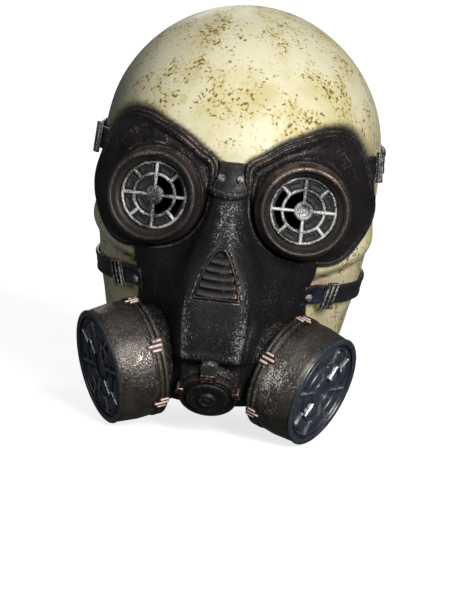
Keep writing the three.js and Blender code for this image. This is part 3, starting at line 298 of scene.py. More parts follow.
def block(size: Sequence[float], bevel: float, segments: int = 2) -> BMesh:
    """Box about the origin with rounded edges.

    Args:
        size: Length along X, Y and Z.
        bevel: Width of the rounding.
        segments: Steps of the rounding.

    Returns:
        The box.
    """
    bm = bmesh.new()
    bmesh.ops.create_cube(bm, size=1.0)
    bmesh.ops.scale(bm, vec=Vector(size), verts=bm.verts)
    bmesh.ops.bevel(
        bm,
        geom=list(bm.edges),
        offset=bevel,
        offset_type="OFFSET",
        segments=segments,
        profile=0.5,
        affect="EDGES",
        material=-1,
        clamp_overlap=True,
    )
    bm.normal_update()
    flats = [face for face in bm.faces if max(map(abs, face.normal)) > 0.999]
    bmesh.ops.inset_individual(bm, faces=flats, thickness=bevel * 0.6, use_even_offset=True)
    return bm


def rod(
    start: Vector, end: Vector, radius: float, sides: int = 10, flat: float = 1.0, tip: float = 1.0
) -> BMesh:
    """Round or flattened bar between two points.

    Args:
        start: Middle of one end.
        end: Middle of the other end.
        radius: Half the bar's width at its start.
        sides: Number of sides.
        flat: Height along Y as a share of the width.
        tip: Width at its end as a share of that at its start.

    Returns:
        The bar.
    """
    bm = bmesh.new()
    length = (end - start).length
    bmesh.ops.create_cone(
        bm, cap_ends=True, segments=sides, radius1=radius, radius2=radius * tip, depth=length
    )
    turn = (end - start).to_track_quat("Z", "Y").to_matrix().to_4x4()
    bmesh.ops.transform(bm, matrix=turn, verts=bm.verts)
    bmesh.ops.scale(bm, vec=Vector((1.0, flat, 1.0)), verts=bm.verts)
    bmesh.ops.translate(bm, vec=(start + end) / 2, verts=bm.verts)
    return bm


def panel(
    reach: tuple[float, float],
    turns: tuple[float, float],
    steps: Profile,
    points: int = 9,
    corner: float = 0.0,
) -> BMesh:
    """Raised panel that fills a window between two radii and two angles.

    Args:
        reach: Inner and outer radius of the window.
        turns: Angles of its two sides.
        steps: Inset from the window's edge and height along Y, from the foot inwards.
        points: Points along each arc.
        corner: Reach of the rounding of its corners.

    Returns:
        The panel.
    """
    rings = []
    for inset, out in steps:
        outline = []
        for radius, (start, end) in ((reach[1] - inset, turns), (reach[0] + inset, turns[::-1])):
            side = math.copysign(inset / radius, end - start)
            for i in range(points):
                turn = mix(start + side, end - side, i / (points - 1))
                outline.append((math.cos(turn) * radius, math.sin(turn) * radius))
        if corner:
            outline = soften([*outline, *outline[:2]], corner, 4)[1:-1]
        rings.append([Vector((x, out, z)) for x, z in outline])
    return loft(rings, caps=True)


def gather(parts: Iterable[BMesh]) -> BMesh:
    """All parts in one mesh, each freed after it is copied.

    Args:
        parts: Meshes in one frame.

    Returns:
        The mesh that holds them all.
    """
    whole = bmesh.new()
    for part in parts:
        mesh = bpy.data.meshes.new("part")
        part.to_mesh(mesh)
        part.free()
        whole.from_mesh(mesh)
        bpy.data.meshes.remove(mesh)
    return whole


def placed(bm: BMesh, matrix: Matrix) -> BMesh:
    """The mesh, moved by a matrix."""
    bmesh.ops.transform(bm, matrix=matrix, verts=bm.verts)
    return bm


def moved(bm: BMesh, x: float, y: float, z: float) -> BMesh:
    """The mesh, moved along the three axes."""
    bmesh.ops.translate(bm, vec=Vector((x, y, z)), verts=bm.verts)
    return bm


def basis(across: Vector, axis: Vector, up: Vector, origin: Vector) -> Matrix:
    """Place with X across, Y along an axis and Z up.

    Args:
        across: Direction of X.
        axis: Direction of Y.
        up: Direction of Z.
        origin: Middle of the place.

    Returns:
        The matrix from the place to the mask.
    """
    matrix = Matrix((across, axis, up)).transposed().to_4x4()
    matrix.translation = origin
    return matrix


def round_off(point: Vector) -> float:
    """Distance from the Y axis."""
    return math.hypot(point.x, point.z)


Rule = Callable[[Vector], float]


def mark(bm: BMesh, name: str, rule: float | Rule) -> None:
    """Stores a value at each point of a mesh.

    Args:
        bm: Mesh in millimetres.
        name: Name of the value for the materials.
        rule: The value, or a rule that gives it for a point.
    """
    layer = bm.verts.layers.float.new(name)
    for vert in bm.verts:
        vert[layer] = rule(vert.co) if callable(rule) else rule


def mark_crests(bm: BMesh, gain: float) -> None:
    """Stores how proud each point stands of its neighbours, as crest.

    Args:
        bm: Mesh in millimetres.
        gain: Multiplier that brings a sharp edge to about 1.
    """
    layer = bm.verts.layers.float.new("crest")
    bm.normal_update()
    for vert in bm.verts:
        near = [edge.other_vert(vert).co for edge in vert.link_edges]
        if not near:
            continue
        mean = sum(near, Vector()) / len(near)
        span = sum((point - vert.co).length for point in near) / len(near)
        vert[layer] = clamp(gain * (vert.co - mean).dot(vert.normal) / max(span, 1e-6))


class Dress(NamedTuple):
    """Material of a piece with the record's slot that it stands for."""

    material: bpy.types.Material
    slot: str


def finish_piece(
    bm: BMesh,
    name: str,
    dress: Dress,
    node: str = "",
    place: Matrix | None = None,
    brush: float | Rule = 0.0,
    gain: float = 3.0,
    sharp: float = 50.0,
    wall: float = 0.0,
    lining: bpy.types.Material | None = None,
    touch: Callable[[Vector, float], float] | None = None,
) -> None:
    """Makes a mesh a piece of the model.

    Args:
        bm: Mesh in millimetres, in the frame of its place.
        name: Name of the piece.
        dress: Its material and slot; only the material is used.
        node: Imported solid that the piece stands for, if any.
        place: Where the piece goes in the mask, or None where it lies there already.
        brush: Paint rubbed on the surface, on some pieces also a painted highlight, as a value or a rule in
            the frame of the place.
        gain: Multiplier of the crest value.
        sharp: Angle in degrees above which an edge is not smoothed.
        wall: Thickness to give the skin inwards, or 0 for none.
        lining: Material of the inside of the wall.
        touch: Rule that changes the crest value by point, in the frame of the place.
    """
    place = Matrix() if place is None else place
    mark(bm, "brush", brush)
    placed(bm, place)
    bmesh.ops.recalc_face_normals(bm, faces=bm.faces)
    mark_crests(bm, gain)
    if touch:
        back = place.inverted()
        layer = bm.verts.layers.float["crest"]
        for vert in bm.verts:
            vert[layer] = touch(back @ vert.co, vert[layer])
    bmesh.ops.scale(bm, vec=Vector((MM, MM, MM)), verts=bm.verts)
    mesh = bpy.data.meshes.new(name)
    bm.to_mesh(mesh)
    bm.free()
    mesh.shade_smooth()
    mesh.set_sharp_from_angle(angle=math.radians(sharp))
    mesh.materials.append(dress.material)
    piece = bpy.data.objects.new(name, mesh)
    bpy.context.scene.collection.objects.link(piece)
    if wall:
        mesh.materials.append(lining)
        shell = piece.modifiers.new("wall", "SOLIDIFY")
        shell.thickness = wall * MM
        shell.offset = -1.0
        shell.material_offset = 1
    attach(piece, BODY)
    if node:
        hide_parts(node)
    log.info("%s: %d faces", name, len(mesh.polygons))


# Forms shared by several pieces


class HoodRow(NamedTuple):
    """Shares of the hood's sizes at one level below the widest one."""

    down: float
    side: float
    front: float
    back: float
    square: float


HOOD_ROWS = (
    HoodRow(0.0, 1.0, 1.0, 1.0, 2.4),
    HoodRow(0.14, 1.0, 0.98, 0.995, 2.45),
    HoodRow(0.3, 0.985, 0.94, 0.96, 2.4),
    HoodRow(0.44, 0.96, 0.89, 0.9, 2.3),
    HoodRow(0.59, 0.925, 0.83, 0.83, 2.2),
    HoodRow(0.73, 0.875, 0.75, 0.77, 2.1),
    HoodRow(0.87, 0.82, 0.65, 0.735, 2.05),
    HoodRow(1.0, 0.795, 0.58, 0.73, 2.0),
)


@dataclass(frozen=True)
class HoodForm:
    """Outside of the skull hood, in millimetres and degrees."""

    wall: float = 2.5
    half_width: float = 92.0
    front: float = 107.0
    back: float = 116.0
    dome_height: float = 95.0
    side_drop: float = 140.0
    eye_drop: float = 120.0
    cheekbone_rise: float = 4.5
    cheekbone_reach: float = 9.0
    cheekbone_drop: float = 34.0
    cheekbone_climb: float = 16.0
    cheekbone_from: float = 36.0
    cheekbone_span: float = 52.0
    cheekbone_bluntness: float = 0.7

    @property
    def rim(self) -> float:
        """Height of the neck rim."""
        return self.wall - self.dome_height - self.side_drop

    def cheekbone(self, turn: float, z: float) -> float:
        """How far the cheekbone stands out.

        Args:
            turn: Angle from straight ahead.
            z: Height.

        Returns:
            The rise.
        """
        side = abs(turn) if abs(turn) <= math.pi else FULL_TURN - abs(turn)
        along = (math.degrees(side) - self.cheekbone_from) / self.cheekbone_span
        if not 0 < along < 1:
            return 0.0
        ridge = -self.eye_drop - self.cheekbone_drop + self.cheekbone_climb * along
        height = math.sin(math.pi * along) ** self.cheekbone_bluntness
        return self.cheekbone_rise * height * bump(ridge, self.cheekbone_reach, z)

    def radius(self, turn: float, z: float, grow: float = 0.0) -> float:
        """Distance of the surface from the upright axis.

        Args:
            turn: Angle from straight ahead.
            z: Height.
            grow: How far the surface is moved out.

        Returns:
            The distance.
        """
        depth = self.wall + grow - z
        dome = self.dome_height + grow
        roundness = 1.0
        if depth < dome:
            share = clamp(depth / dome)
            roundness = math.sqrt(max(1 - (1 - share) ** 2, 0.0))
            row = HOOD_ROWS[0]._replace(square=mix(2, HOOD_ROWS[0].square, share * share))
        else:
            row = row_at(HOOD_ROWS, (depth - dome) / (self.side_drop + grow))
        across = self.half_width * row.side + grow
        ahead = math.cos(turn) > 0
        along = (self.front * row.front if ahead else self.back * row.back) + grow
        sine = abs(math.sin(turn) / across) ** row.square
        cosine = abs(math.cos(turn) / along) ** row.square
        return roundness * (sine + cosine) ** (-1 / row.square) + self.cheekbone(turn, z)

    def point(self, turn: float, z: float, grow: float = 0.0) -> Vector:
        """Point of the surface at a turn and a height."""
        radius = self.radius(turn, z, grow)
        return Vector((radius * math.sin(turn), -radius * math.cos(turn), z))

    def front_point(self, x: float, z: float, grow: float = 0.0) -> Vector:
        """Point of the front that lies behind a place in the front view.

        Args:
            x: Distance from the middle plane.
            z: Height.
            grow: How far the surface is moved out.

        Returns:
            The point.
        """
        turn = math.atan2(x, self.front)
        for _ in range(14):
            sine = clamp(x / self.radius(turn, z, grow), -1, 1)
            turn = (turn + math.asin(sine)) / 2
        return self.point(turn, z, grow)

    def normal(self, turn: float, z: float) -> Vector:
        """Direction out of the surface.

        Args:
            turn: Angle from straight ahead.
            z: Height.

        Returns:
            The direction.
        """
        across = self.point(turn + 0.01, z) - self.point(turn - 0.01, z)
        up = self.point(turn, z + 0.5) - self.point(turn, z - 0.5)
        return across.cross(up).normalized()


HOOD = HoodForm()


class FrameRow(NamedTuple):
    """Outer edge of a goggle frame past its bezel, as a share of its width."""

    angle: float
    past: float


FRAME_ROWS = (
    FrameRow(-38, 0.94),
    FrameRow(-19, 0.94),
    FrameRow(0, 1.0),
    FrameRow(27, 1.08),
    FrameRow(48, 1.55),
    FrameRow(65, 2.05),
    FrameRow(80, 1.8),
    FrameRow(93, 1.39),
    FrameRow(111, 1.14),
    FrameRow(130, 1.05),
    FrameRow(146, 1.28),
    FrameRow(157, 0.94),
    FrameRow(170, 0.33),
    FrameRow(186, 0.17),
    FrameRow(236, 0.17),
    FrameRow(262, 0.22),
    FrameRow(281, 0.44),
    FrameRow(300, 0.83),
    FrameRow(322, 0.94),
    FrameRow(341, 0.94),
    FrameRow(360, 1.0),
    FrameRow(387, 1.08),
)


@dataclass(frozen=True)
class EyeForm:
    """Places and sizes of the goggles, in millimetres and degrees."""

    half_spacing: float = 46.6
    drop: float = 120.0
    ahead: float = 105.0
    splay: float = 10.0
    ring_radius: float = 30.8
    ring_height: float = 12.0
    ring_bore: float = 22.0
    frame_bore: float = 26.0
    frame_width: float = 11.1
    frame_spread: float = 12.0
    least_spread: float = 0.12

    def place(self, side: Side) -> Matrix:
        """Place of a goggle, with Y along the line of sight.

        Args:
            side: Side of the goggle.

        Returns:
            The matrix from the place to the mask.
        """
        splay = math.radians(self.splay) * side.value
        sight = Vector((math.sin(splay), -math.cos(splay), 0.0))
        up = Vector((0.0, 0.0, 1.0))
        origin = Vector((side.value * self.half_spacing, -self.ahead, -self.drop))
        return basis(sight.cross(up), sight, up, origin)

    def past(self, angle: float) -> float:
        """How far a frame reaches past its bezel at an angle in radians."""
        return self.frame_width * row_at(FRAME_ROWS, math.degrees(angle % FULL_TURN)).past

    def clear_of_frame(self, x: float, z: float) -> float:
        """Distance in the front view from the nearer frame, below 0 inside it.

        Args:
            x: Distance from the middle plane.
            z: Height.

        Returns:
            The distance along the line to the centre of the goggle.
        """
        across, up = abs(x) - self.half_spacing, z + self.drop
        reach = self.ring_radius + self.past(math.atan2(up, across))
        return math.hypot(across, up) - reach


EYES = EyeForm()


class FaceRow(NamedTuple):
    """Shares of the muzzle's half width and standoff at one level of the face."""

    down: float
    mid: float
    mid_out: float
    side: float
    side_out: float
    root: float
    root_out: float
    edge: float


FACE_ROWS = (
    FaceRow(0.0, 0.16, 0.2, 0.36, 0.18, 0.5, 0.12, 0.66),
    FaceRow(0.07, 0.18, 0.22, 0.4, 0.18, 0.6, 0.08, 0.95),
    FaceRow(0.15, 0.17, 0.34, 0.36, 0.24, 0.62, 0.05, 1.5),
    FaceRow(0.24, 0.2, 0.62, 0.44, 0.44, 0.78, 0.08, 2.0),
    FaceRow(0.33, 0.28, 0.87, 0.62, 0.58, 1.0, 0.06, 2.3),
    FaceRow(0.42, 0.44, 0.97, 0.82, 0.7, 1.2, 0.03, 2.3),
    FaceRow(0.5, 0.6, 1.0, 0.88, 0.76, 1.26, -0.02, 2.15),
    FaceRow(0.58, 0.68, 1.0, 0.9, 0.74, 1.24, -0.06, 2.12),
    FaceRow(0.67, 0.68, 0.97, 0.88, 0.7, 1.2, -0.1, 2.2),
    FaceRow(0.75, 0.66, 0.9, 0.84, 0.62, 1.18, -0.12, 2.35),
    FaceRow(0.79, 0.64, 0.84, 0.82, 0.58, 1.18, -0.14, 2.4),
    FaceRow(0.81, 0.6, 0.5, 0.82, 0.32, 1.18, -0.16, 2.42),
    FaceRow(0.88, 0.54, 0.3, 0.84, 0.14, 1.24, -0.26, 2.4),
    FaceRow(0.95, 0.46, 0.02, 0.86, -0.1, 1.3, -0.5, 1.95),
    FaceRow(1.0, 0.4, -0.3, 0.8, -0.42, 1.15, -0.8, 1.5),
)


@dataclass(frozen=True)
class FaceForm:
    """Outside of the breathing mask, in millimetres."""

    wall: float = 3.0
    gap: float = 0.3
    top_drop: float = 96.0
    height: float = 154.0
    half_width: float = 25.0
    standoff: float = 30.0
    edge_sink: float = 8.0
    bulge: float = 0.5

    @property
    def foot(self) -> float:
        """Height of the chin."""
        return -self.top_drop - self.height

    def level(self, z: float) -> FaceRow:
        """Row of the table at a height."""
        return row_at(FACE_ROWS, (-self.top_drop - z) / self.height)

    def outline(self, z: float, samples: int = 160) -> list[Vector]:
        """Line across the face at one height, from edge to edge.

        Args:
            z: Height.
            samples: Pieces of the line.

        Returns:
            Points of the line.
        """
        row = self.level(z)
        edge_x = row.edge * self.half_width
        edge = HOOD.front_point(edge_x, max(z, HOOD.rim), self.wall + self.gap)
        half = [
            (row.mid * self.half_width, HOOD.front + row.mid_out * self.standoff),
            (row.side * self.half_width, HOOD.front + row.side_out * self.standoff),
            (row.root * self.half_width, HOOD.front + row.root_out * self.standoff),
            (edge_x, -edge.y),
        ]
        crown = HOOD.front + row.mid_out * self.standoff + self.bulge
        points = [
            *(Vector((-x, -out, z)) for x, out in reversed(half)),
            Vector((0.0, -crown, z)),
            *(Vector((x, -out, z)) for x, out in half),
        ]
        return [spline(points, i / samples) for i in range(samples + 1)]

    def front_point(self, x: float, z: float) -> Vector:
        """Point of the face behind a place in the front view.

        Args:
            x: Distance from the middle plane.
            z: Height.

        Returns:
            The point.
        """
        line = self.outline(z)
        for a, b in zip(line, line[1:]):
            if a.x <= x <= b.x:
                return a.lerp(b, (x - a.x) / max(b.x - a.x, 1e-6))
        return line[len(line) // 2]


FACE = FaceForm()


@dataclass(frozen=True)
class FilterForm:
    """Places and sizes of the drum filters, in millimetres and degrees."""

    side: float = 44.0
    ahead: float = 85.0
    drop: float = 225.0
    turn: float = 64.0
    droop: float = 16.5
    radius: float = 38.0
    length: float = 32.0
    flange_rise: float = 0.6
    gap: float = 0.4

    def place(self, side: Side) -> Matrix:
        """Place of a filter, with Y out along its axis.

        Args:
            side: Side of the filter.

        Returns:
            The matrix from the place to the mask.
        """
        turn, droop = math.radians(self.turn) * side.value, math.radians(self.droop)
        level = math.cos(droop)
        axis = Vector((math.sin(turn) * level, -math.cos(turn) * level, -math.sin(droop)))
        up = Vector((0.0, 0.0, 1.0))
        up = (up - axis * up.dot(axis)).normalized()
        origin = Vector((side.value * self.side, -self.ahead, -self.drop))
        return basis(axis.cross(up), axis, up, origin)

    def sunk_behind(self, point: Vector, side: Side) -> Vector:
        """The point, slid back along the axis where it would lie in the drum.

        Args:
            point: Point of a skin.
            side: Which filter.

        Returns:
            The point, clear of the drum.
        """
        place = self.place(side)
        local = place.inverted() @ point
        clear = round_off(local) - self.radius - self.flange_rise - self.gap
        if clear < 0 and -self.gap < local.y < self.length:
            local.y = -self.gap
            return place @ local
        return point


FILTERS = FilterForm()


@dataclass(frozen=True)
class ValveForm:
    """Place and sizes of the outlet valve, in millimetres and degrees."""

    ahead: float = 117.0
    drop: float = 245.0
    droop: float = 43.0
    radius: float = 16.0
    depth: float = 7.0
    button: float = 5.2
    collar_depth: float = 5.0
    collar_wall: float = 2.2
    gap: float = 0.3
    boss_depth: float = 12.0

    @property
    def collar(self) -> float:
        """Outer radius of the collar."""
        return self.radius + self.gap + self.collar_wall

    def place(self) -> Matrix:
        """Place of the valve, with Y out along its axis.

        Returns:
            The matrix from the place to the mask.
        """
        droop = math.radians(self.droop)
        axis = Vector((0.0, -math.cos(droop), -math.sin(droop)))
        across = Vector((-1.0, 0.0, 0.0))
        origin = Vector((0.0, -self.ahead, -self.drop))
        return basis(across, axis, across.cross(axis), origin)


VALVE = ValveForm()


class VentRow(NamedTuple):
    """Half width of the louvre at a share of its height."""

    down: float
    half: float


VENT_ROWS = (
    VentRow(0, 0.2),
    VentRow(0.1, 0.36),
    VentRow(0.28, 0.54),
    VentRow(0.55, 0.75),
    VentRow(1, 1),
)


@dataclass(frozen=True)
class VentForm:
    """Place and sizes of the louvre on the nose, in millimetres."""

    drop: float = 147.0
    height: float = 32.0
    half_width: float = 15.0
    rim: float = 1.8
    sink: float = 1.2
    side_lean: float = 1.15

    @cached_property
    def place(self) -> Matrix:
        """Place of the louvre's top, with Y out of the nose and Z up along it.

        Returns:
            The matrix from the place to the mask.
        """
        top = FACE.front_point(0, -self.drop)
        bottom = FACE.front_point(0, -self.drop - self.height)
        up = (top - bottom).normalized()
        across = Vector((-1.0, 0.0, 0.0))
        return basis(across, up.cross(across), up, top)

    @cached_property
    def back(self) -> Matrix:
        """Way from the mask's frame into the louvre's."""
        return self.place.inverted()

    def half(self, down: float) -> float:
        """Half width at a share of the height."""
        return row_at(VENT_ROWS, clamp(down)).half * self.half_width

    def sunk_under(self, point: Vector) -> Vector:
        """The point, pushed back where it would fill the louvre.

        Args:
            point: Point of a skin.

        Returns:
            The point, clear of the slats.
        """
        local = self.back @ point
        down = -local.z / self.height
        if 0 < down < 1 and abs(local.x) < self.half(down) and local.y > -self.sink:
            local.y = -self.sink
            return self.place @ local
        return point


VENT = VentForm()


# Shader nodes

Socket = bpy.types.NodeSocket
Value = Socket | float
Colour = tuple[float, float, float, float]


def tint(red: float, green: float, blue: float) -> Colour:
    """Colour from its three shares of light."""
    return (red, green, blue, 1.0)


class Graph:
    """Nodes and links of one material or one shader group."""

    def __init__(self, tree: bpy.types.NodeTree) -> None:
        """Starts with an existing tree."""
        self.tree = tree

    def add(self, kind: str, **settings: object) -> bpy.types.Node:
        """Adds a node.

        Args:
            kind: Type of the node.
            **settings: Settings of the node by name.

        Returns:
            The node.
        """
        node = self.tree.nodes.new(kind)
        for name, value in settings.items():
            setattr(node, name, value)
        return node

    def feed(self, socket: Socket, value: Value | Colour | Vector) -> None:
        """Links a socket to another one, or sets its value.

        Args:
            socket: Input of a node.
            value: Output of a node, or a constant.
        """
        if isinstance(value, Socket):
            self.tree.links.new(value, socket)
        else:
            socket.default_value = value

    def math(self, operation: str, a: Value, b: Value = 0.0, clamped: bool = False) -> Socket:
        """Works out one value from two.

        Args:
            operation: Name of the operation.
            a: First value.
            b: Second value.
            clamped: Whether the result is kept from 0 to 1.

        Returns:
            The result.
        """
        node = self.add("ShaderNodeMath", operation=operation, use_clamp=clamped)
        self.feed(node.inputs[0], a)
        self.feed(node.inputs[1], b)
        return node.outputs[0]

    def span(self, value: Value, low: float, high: float, start: float = 0.0, end: float = 1.0) -> Socket:
        """Spreads a value smoothly from one range to another and keeps it there.

        Args:
            value: The value.
            low: Foot of its range.
            high: Top of its range.
            start: Result at the foot and below.
            end: Result at the top and above.

        Returns:
            The result.
        """
        node = self.add("ShaderNodeMapRange", interpolation_type="SMOOTHSTEP")
        names = ("Value", "From Min", "From Max", "To Min", "To Max")
        for name, number in zip(names, (value, low, high, start, end)):
            self.feed(node.inputs[name], number)
        return node.outputs["Result"]

    def blend(self, share: Value, a: Socket | Colour, b: Socket | Colour) -> Socket:
        """Mixes two colours.

        Args:
            share: Share of the second colour.
            a: First colour.
            b: Second colour.

        Returns:
            The colour.
        """
        node = self.add("ShaderNodeMix", data_type="RGBA", blend_type="MIX")
        self.feed(node.inputs[0], share)
        self.feed(node.inputs[6], a)
        self.feed(node.inputs[7], b)
        return node.outputs[2]

    def noise(self, place: Socket, scale: Value, detail: float = 3.0, rough: float = 0.55) -> Socket:
        """Cloudy value from 0 to 1.

        Args:
            place: Place in the mask.
            scale: Waves in a metre.
            detail: Number of finer layers.
            rough: Strength of each layer as a share of the one before.

        Returns:
            The value.
        """
        node = self.add("ShaderNodeTexNoise")
        names = ("Vector", "Scale", "Detail", "Roughness")
        for name, value in zip(names, (place, scale, detail, rough)):
            self.feed(node.inputs[name], value)
        return node.outputs[0]

    def value(self, name: str) -> Socket:
        """Value stored at the points of the mesh."""
        return self.add("ShaderNodeAttribute", attribute_name=name).outputs["Fac"]

    def place(self) -> Socket:
        """Place in the mask's own frame."""
        return self.add("ShaderNodeTexCoord").outputs["Object"]

    def group(self, group: bpy.types.NodeTree, **inputs: Value) -> Socket:
        """Adds a shared group.

        Args:
            group: The group.
            **inputs: Its inputs by name.

        Returns:
            Its first output.
        """
        node = self.add("ShaderNodeGroup", node_tree=group)
        for name, value in inputs.items():
            self.feed(node.inputs[name], value)
        return node.outputs[0]

    def emboss(self, shader: bpy.types.Node, height: Socket, strength: float, depth: float) -> None:
        """Gives a shader a fine relief.

        Args:
            shader: Shader of the material.
            height: Height of the relief from 0 to 1.
            strength: Share of the relief that shows.
            depth: Depth in metres.
        """
        relief = self.add("ShaderNodeBump")
        relief.inputs["Strength"].default_value = strength
        relief.inputs["Distance"].default_value = depth
        self.feed(relief.inputs["Height"], height)
        self.feed(shader.inputs["Normal"], relief.outputs[0])


def new_group(name: str, output: str, **inputs: float | None) -> tuple[Graph, Socket, Socket]:
    """Empty shader group.

    Args:
        name: Its name.
        output: Name of its output value.
        **inputs: Default of each input value, or None for a place.

    Returns:
        The graph, the sockets that the group reads and the one that it fills.
    """
    tree = bpy.data.node_groups.new(name, "ShaderNodeTree")
    for word, default in inputs.items():
        kind = "NodeSocketVector" if default is None else "NodeSocketFloat"
        socket = tree.interface.new_socket(word, in_out="INPUT", socket_type=kind)
        if default is not None:
            socket.default_value = default
    tree.interface.new_socket(output, in_out="OUTPUT", socket_type="NodeSocketFloat")
    graph = Graph(tree)
    return graph, graph.add("NodeGroupInput").outputs, graph.add("NodeGroupOutput").inputs[output]


def speckle_group() -> bpy.types.NodeTree:
    """Spots gathered in clusters, as a mask.

    Returns:
        The group.
    """
    graph, given, out = new_group("speckle", "Mask", Place=None, Spots=600.0, Clusters=40.0, Amount=0.5)
    fine = graph.noise(given["Place"], given["Spots"], 2.0)
    patch = graph.noise(given["Place"], given["Clusters"], 2.0)
    reach = graph.math("MULTIPLY", graph.math("SUBTRACT", patch, 0.5), 0.56)
    level = graph.math("ADD", fine, reach)
    limit = graph.math("SUBTRACT", 0.78, graph.math("MULTIPLY", given["Amount"], 0.3))
    graph.feed(out, graph.math("MULTIPLY", graph.math("SUBTRACT", level, limit), 12.0, clamped=True))
    return graph.tree


def rub_group() -> bpy.types.NodeTree:
    """Paint rubbed on crests and high spots, on some pieces also painted highlights, as a mask broken by
    fine grain.

    Returns:
        The group.
    """
    graph, given, out = new_group(
        "rubbed paint", "Mask", Place=None, Crest=0.0, Brush=0.0, Grain=900.0, Edge=1.0, Field=1.0
    )
    fine = graph.noise(given["Place"], given["Grain"], 3.0, 0.7)
    broad = graph.noise(given["Place"], 70.0, 3.0)
    crest = graph.math("MULTIPLY", given["Crest"], given["Edge"])
    crest = graph.math("MULTIPLY", crest, graph.span(broad, 0.3, 0.6, 0.55, 1.0))
    brush = graph.math("MULTIPLY", given["Brush"], given["Field"])
    brush = graph.math("MULTIPLY", brush, graph.span(broad, 0.35, 0.65, 0.35, 1.0))
    limit = graph.math("SUBTRACT", 1.0, graph.math("ADD", crest, brush))
    ragged = graph.span(fine, 0.28, 0.72)
    graph.feed(out, graph.math("MULTIPLY", graph.math("SUBTRACT", ragged, limit), 2.6, clamped=True))
    return graph.tree


def grain_group() -> bpy.types.NodeTree:
    """Skin of cast rubber: fine grain over soft unevenness, as a height.

    Returns:
        The group.
    """
    graph, given, out = new_group("cast grain", "Height", Place=None, Fine=900.0, Coarse=160.0, Balance=0.5)
    fine = graph.noise(given["Place"], given["Fine"], 4.0, 0.6)
    coarse = graph.noise(given["Place"], given["Coarse"], 3.0, 0.5)
    low = graph.math("MULTIPLY", coarse, graph.math("SUBTRACT", 1.0, given["Balance"]))
    graph.feed(out, graph.math("ADD", low, graph.math("MULTIPLY", fine, given["Balance"])))
    return graph.tree


class Groups:
    """Shader groups shared by the finishes, built once."""

    def __init__(self) -> None:
        """Builds them."""
        self.speckle = speckle_group()
        self.rub = rub_group()
        self.grain = grain_group()


def new_material(name: str) -> tuple[bpy.types.Material, Graph, bpy.types.Node]:
    """Material with one shader.

    Args:
        name: Its name.

    Returns:
        The material, its graph and its shader.
    """
    material = bpy.data.materials.new(name)
    material.use_nodes = True
    graph = Graph(material.node_tree)
    return material, graph, graph.tree.nodes["Principled BSDF"]


@dataclass(frozen=True)
class PaintedRubber:
    """Dark cast rubber with metallic paint rubbed on what stands proud."""

    name: str
    slot: str
    base: Colour
    shade: Colour
    paint: Colour
    rim: Colour
    edge: float = 1.0
    field: float = 1.0
    grain: float = 900.0
    gloss: float = 0.42
    dull: float = 0.62
    sheen: float = 0.75
    relief: float = 0.35
    specular: float = 0.5
    metal: float = 0.0
    pebble: float = 0.5
    depth: float = 0.0012

    def build(self, groups: Groups) -> bpy.types.Material:
        """Builds the material.

        Args:
            groups: Shared shader groups.

        Returns:
            The material.
        """
        material, graph, shader = new_material(self.name)
        place = graph.place()
        # The paint value carries rubbed paint, and on some pieces painted highlights.
        crest, brush = graph.value("crest"), graph.value("brush")
        cloud = graph.noise(place, 55.0, 4.0)
        ground = graph.blend(graph.span(cloud, 0.35, 0.7), self.base, self.shade)
        mask = graph.group(
            groups.rub, Place=place, Crest=crest, Brush=brush, Grain=self.grain, Edge=self.edge,
            Field=self.field,
        )
        paint = graph.blend(graph.span(crest, 0.25, 0.8), self.paint, self.rim)
        graph.feed(shader.inputs["Base Color"], graph.blend(mask, ground, paint))
        metal = graph.math("MAXIMUM", graph.math("MULTIPLY", mask, self.sheen), self.metal)
        graph.feed(shader.inputs["Metallic"], metal)
        worn = graph.span(graph.noise(place, 240.0, 3.0), 0.3, 0.7, self.gloss, self.dull)
        graph.feed(shader.inputs["Roughness"], worn)
        shader.inputs["Specular IOR Level"].default_value = self.specular
        balance = 1.0 - self.pebble
        height = graph.group(groups.grain, Place=place, Fine=self.grain, Coarse=420.0, Balance=balance)
        raised = graph.math("ADD", height, graph.math("MULTIPLY", mask, 0.25))
        graph.emboss(shader, raised, self.relief, self.depth)
        return material

    def dress(self, groups: Groups) -> Dress:
        """Material with its slot."""
        return Dress(self.build(groups), self.slot)


class Spatter(NamedTuple):
    """One layer of spatter: its colour, how strong it is, its spots in a metre and their share."""

    hue: Colour
    strength: float
    spots: float
    amount: float


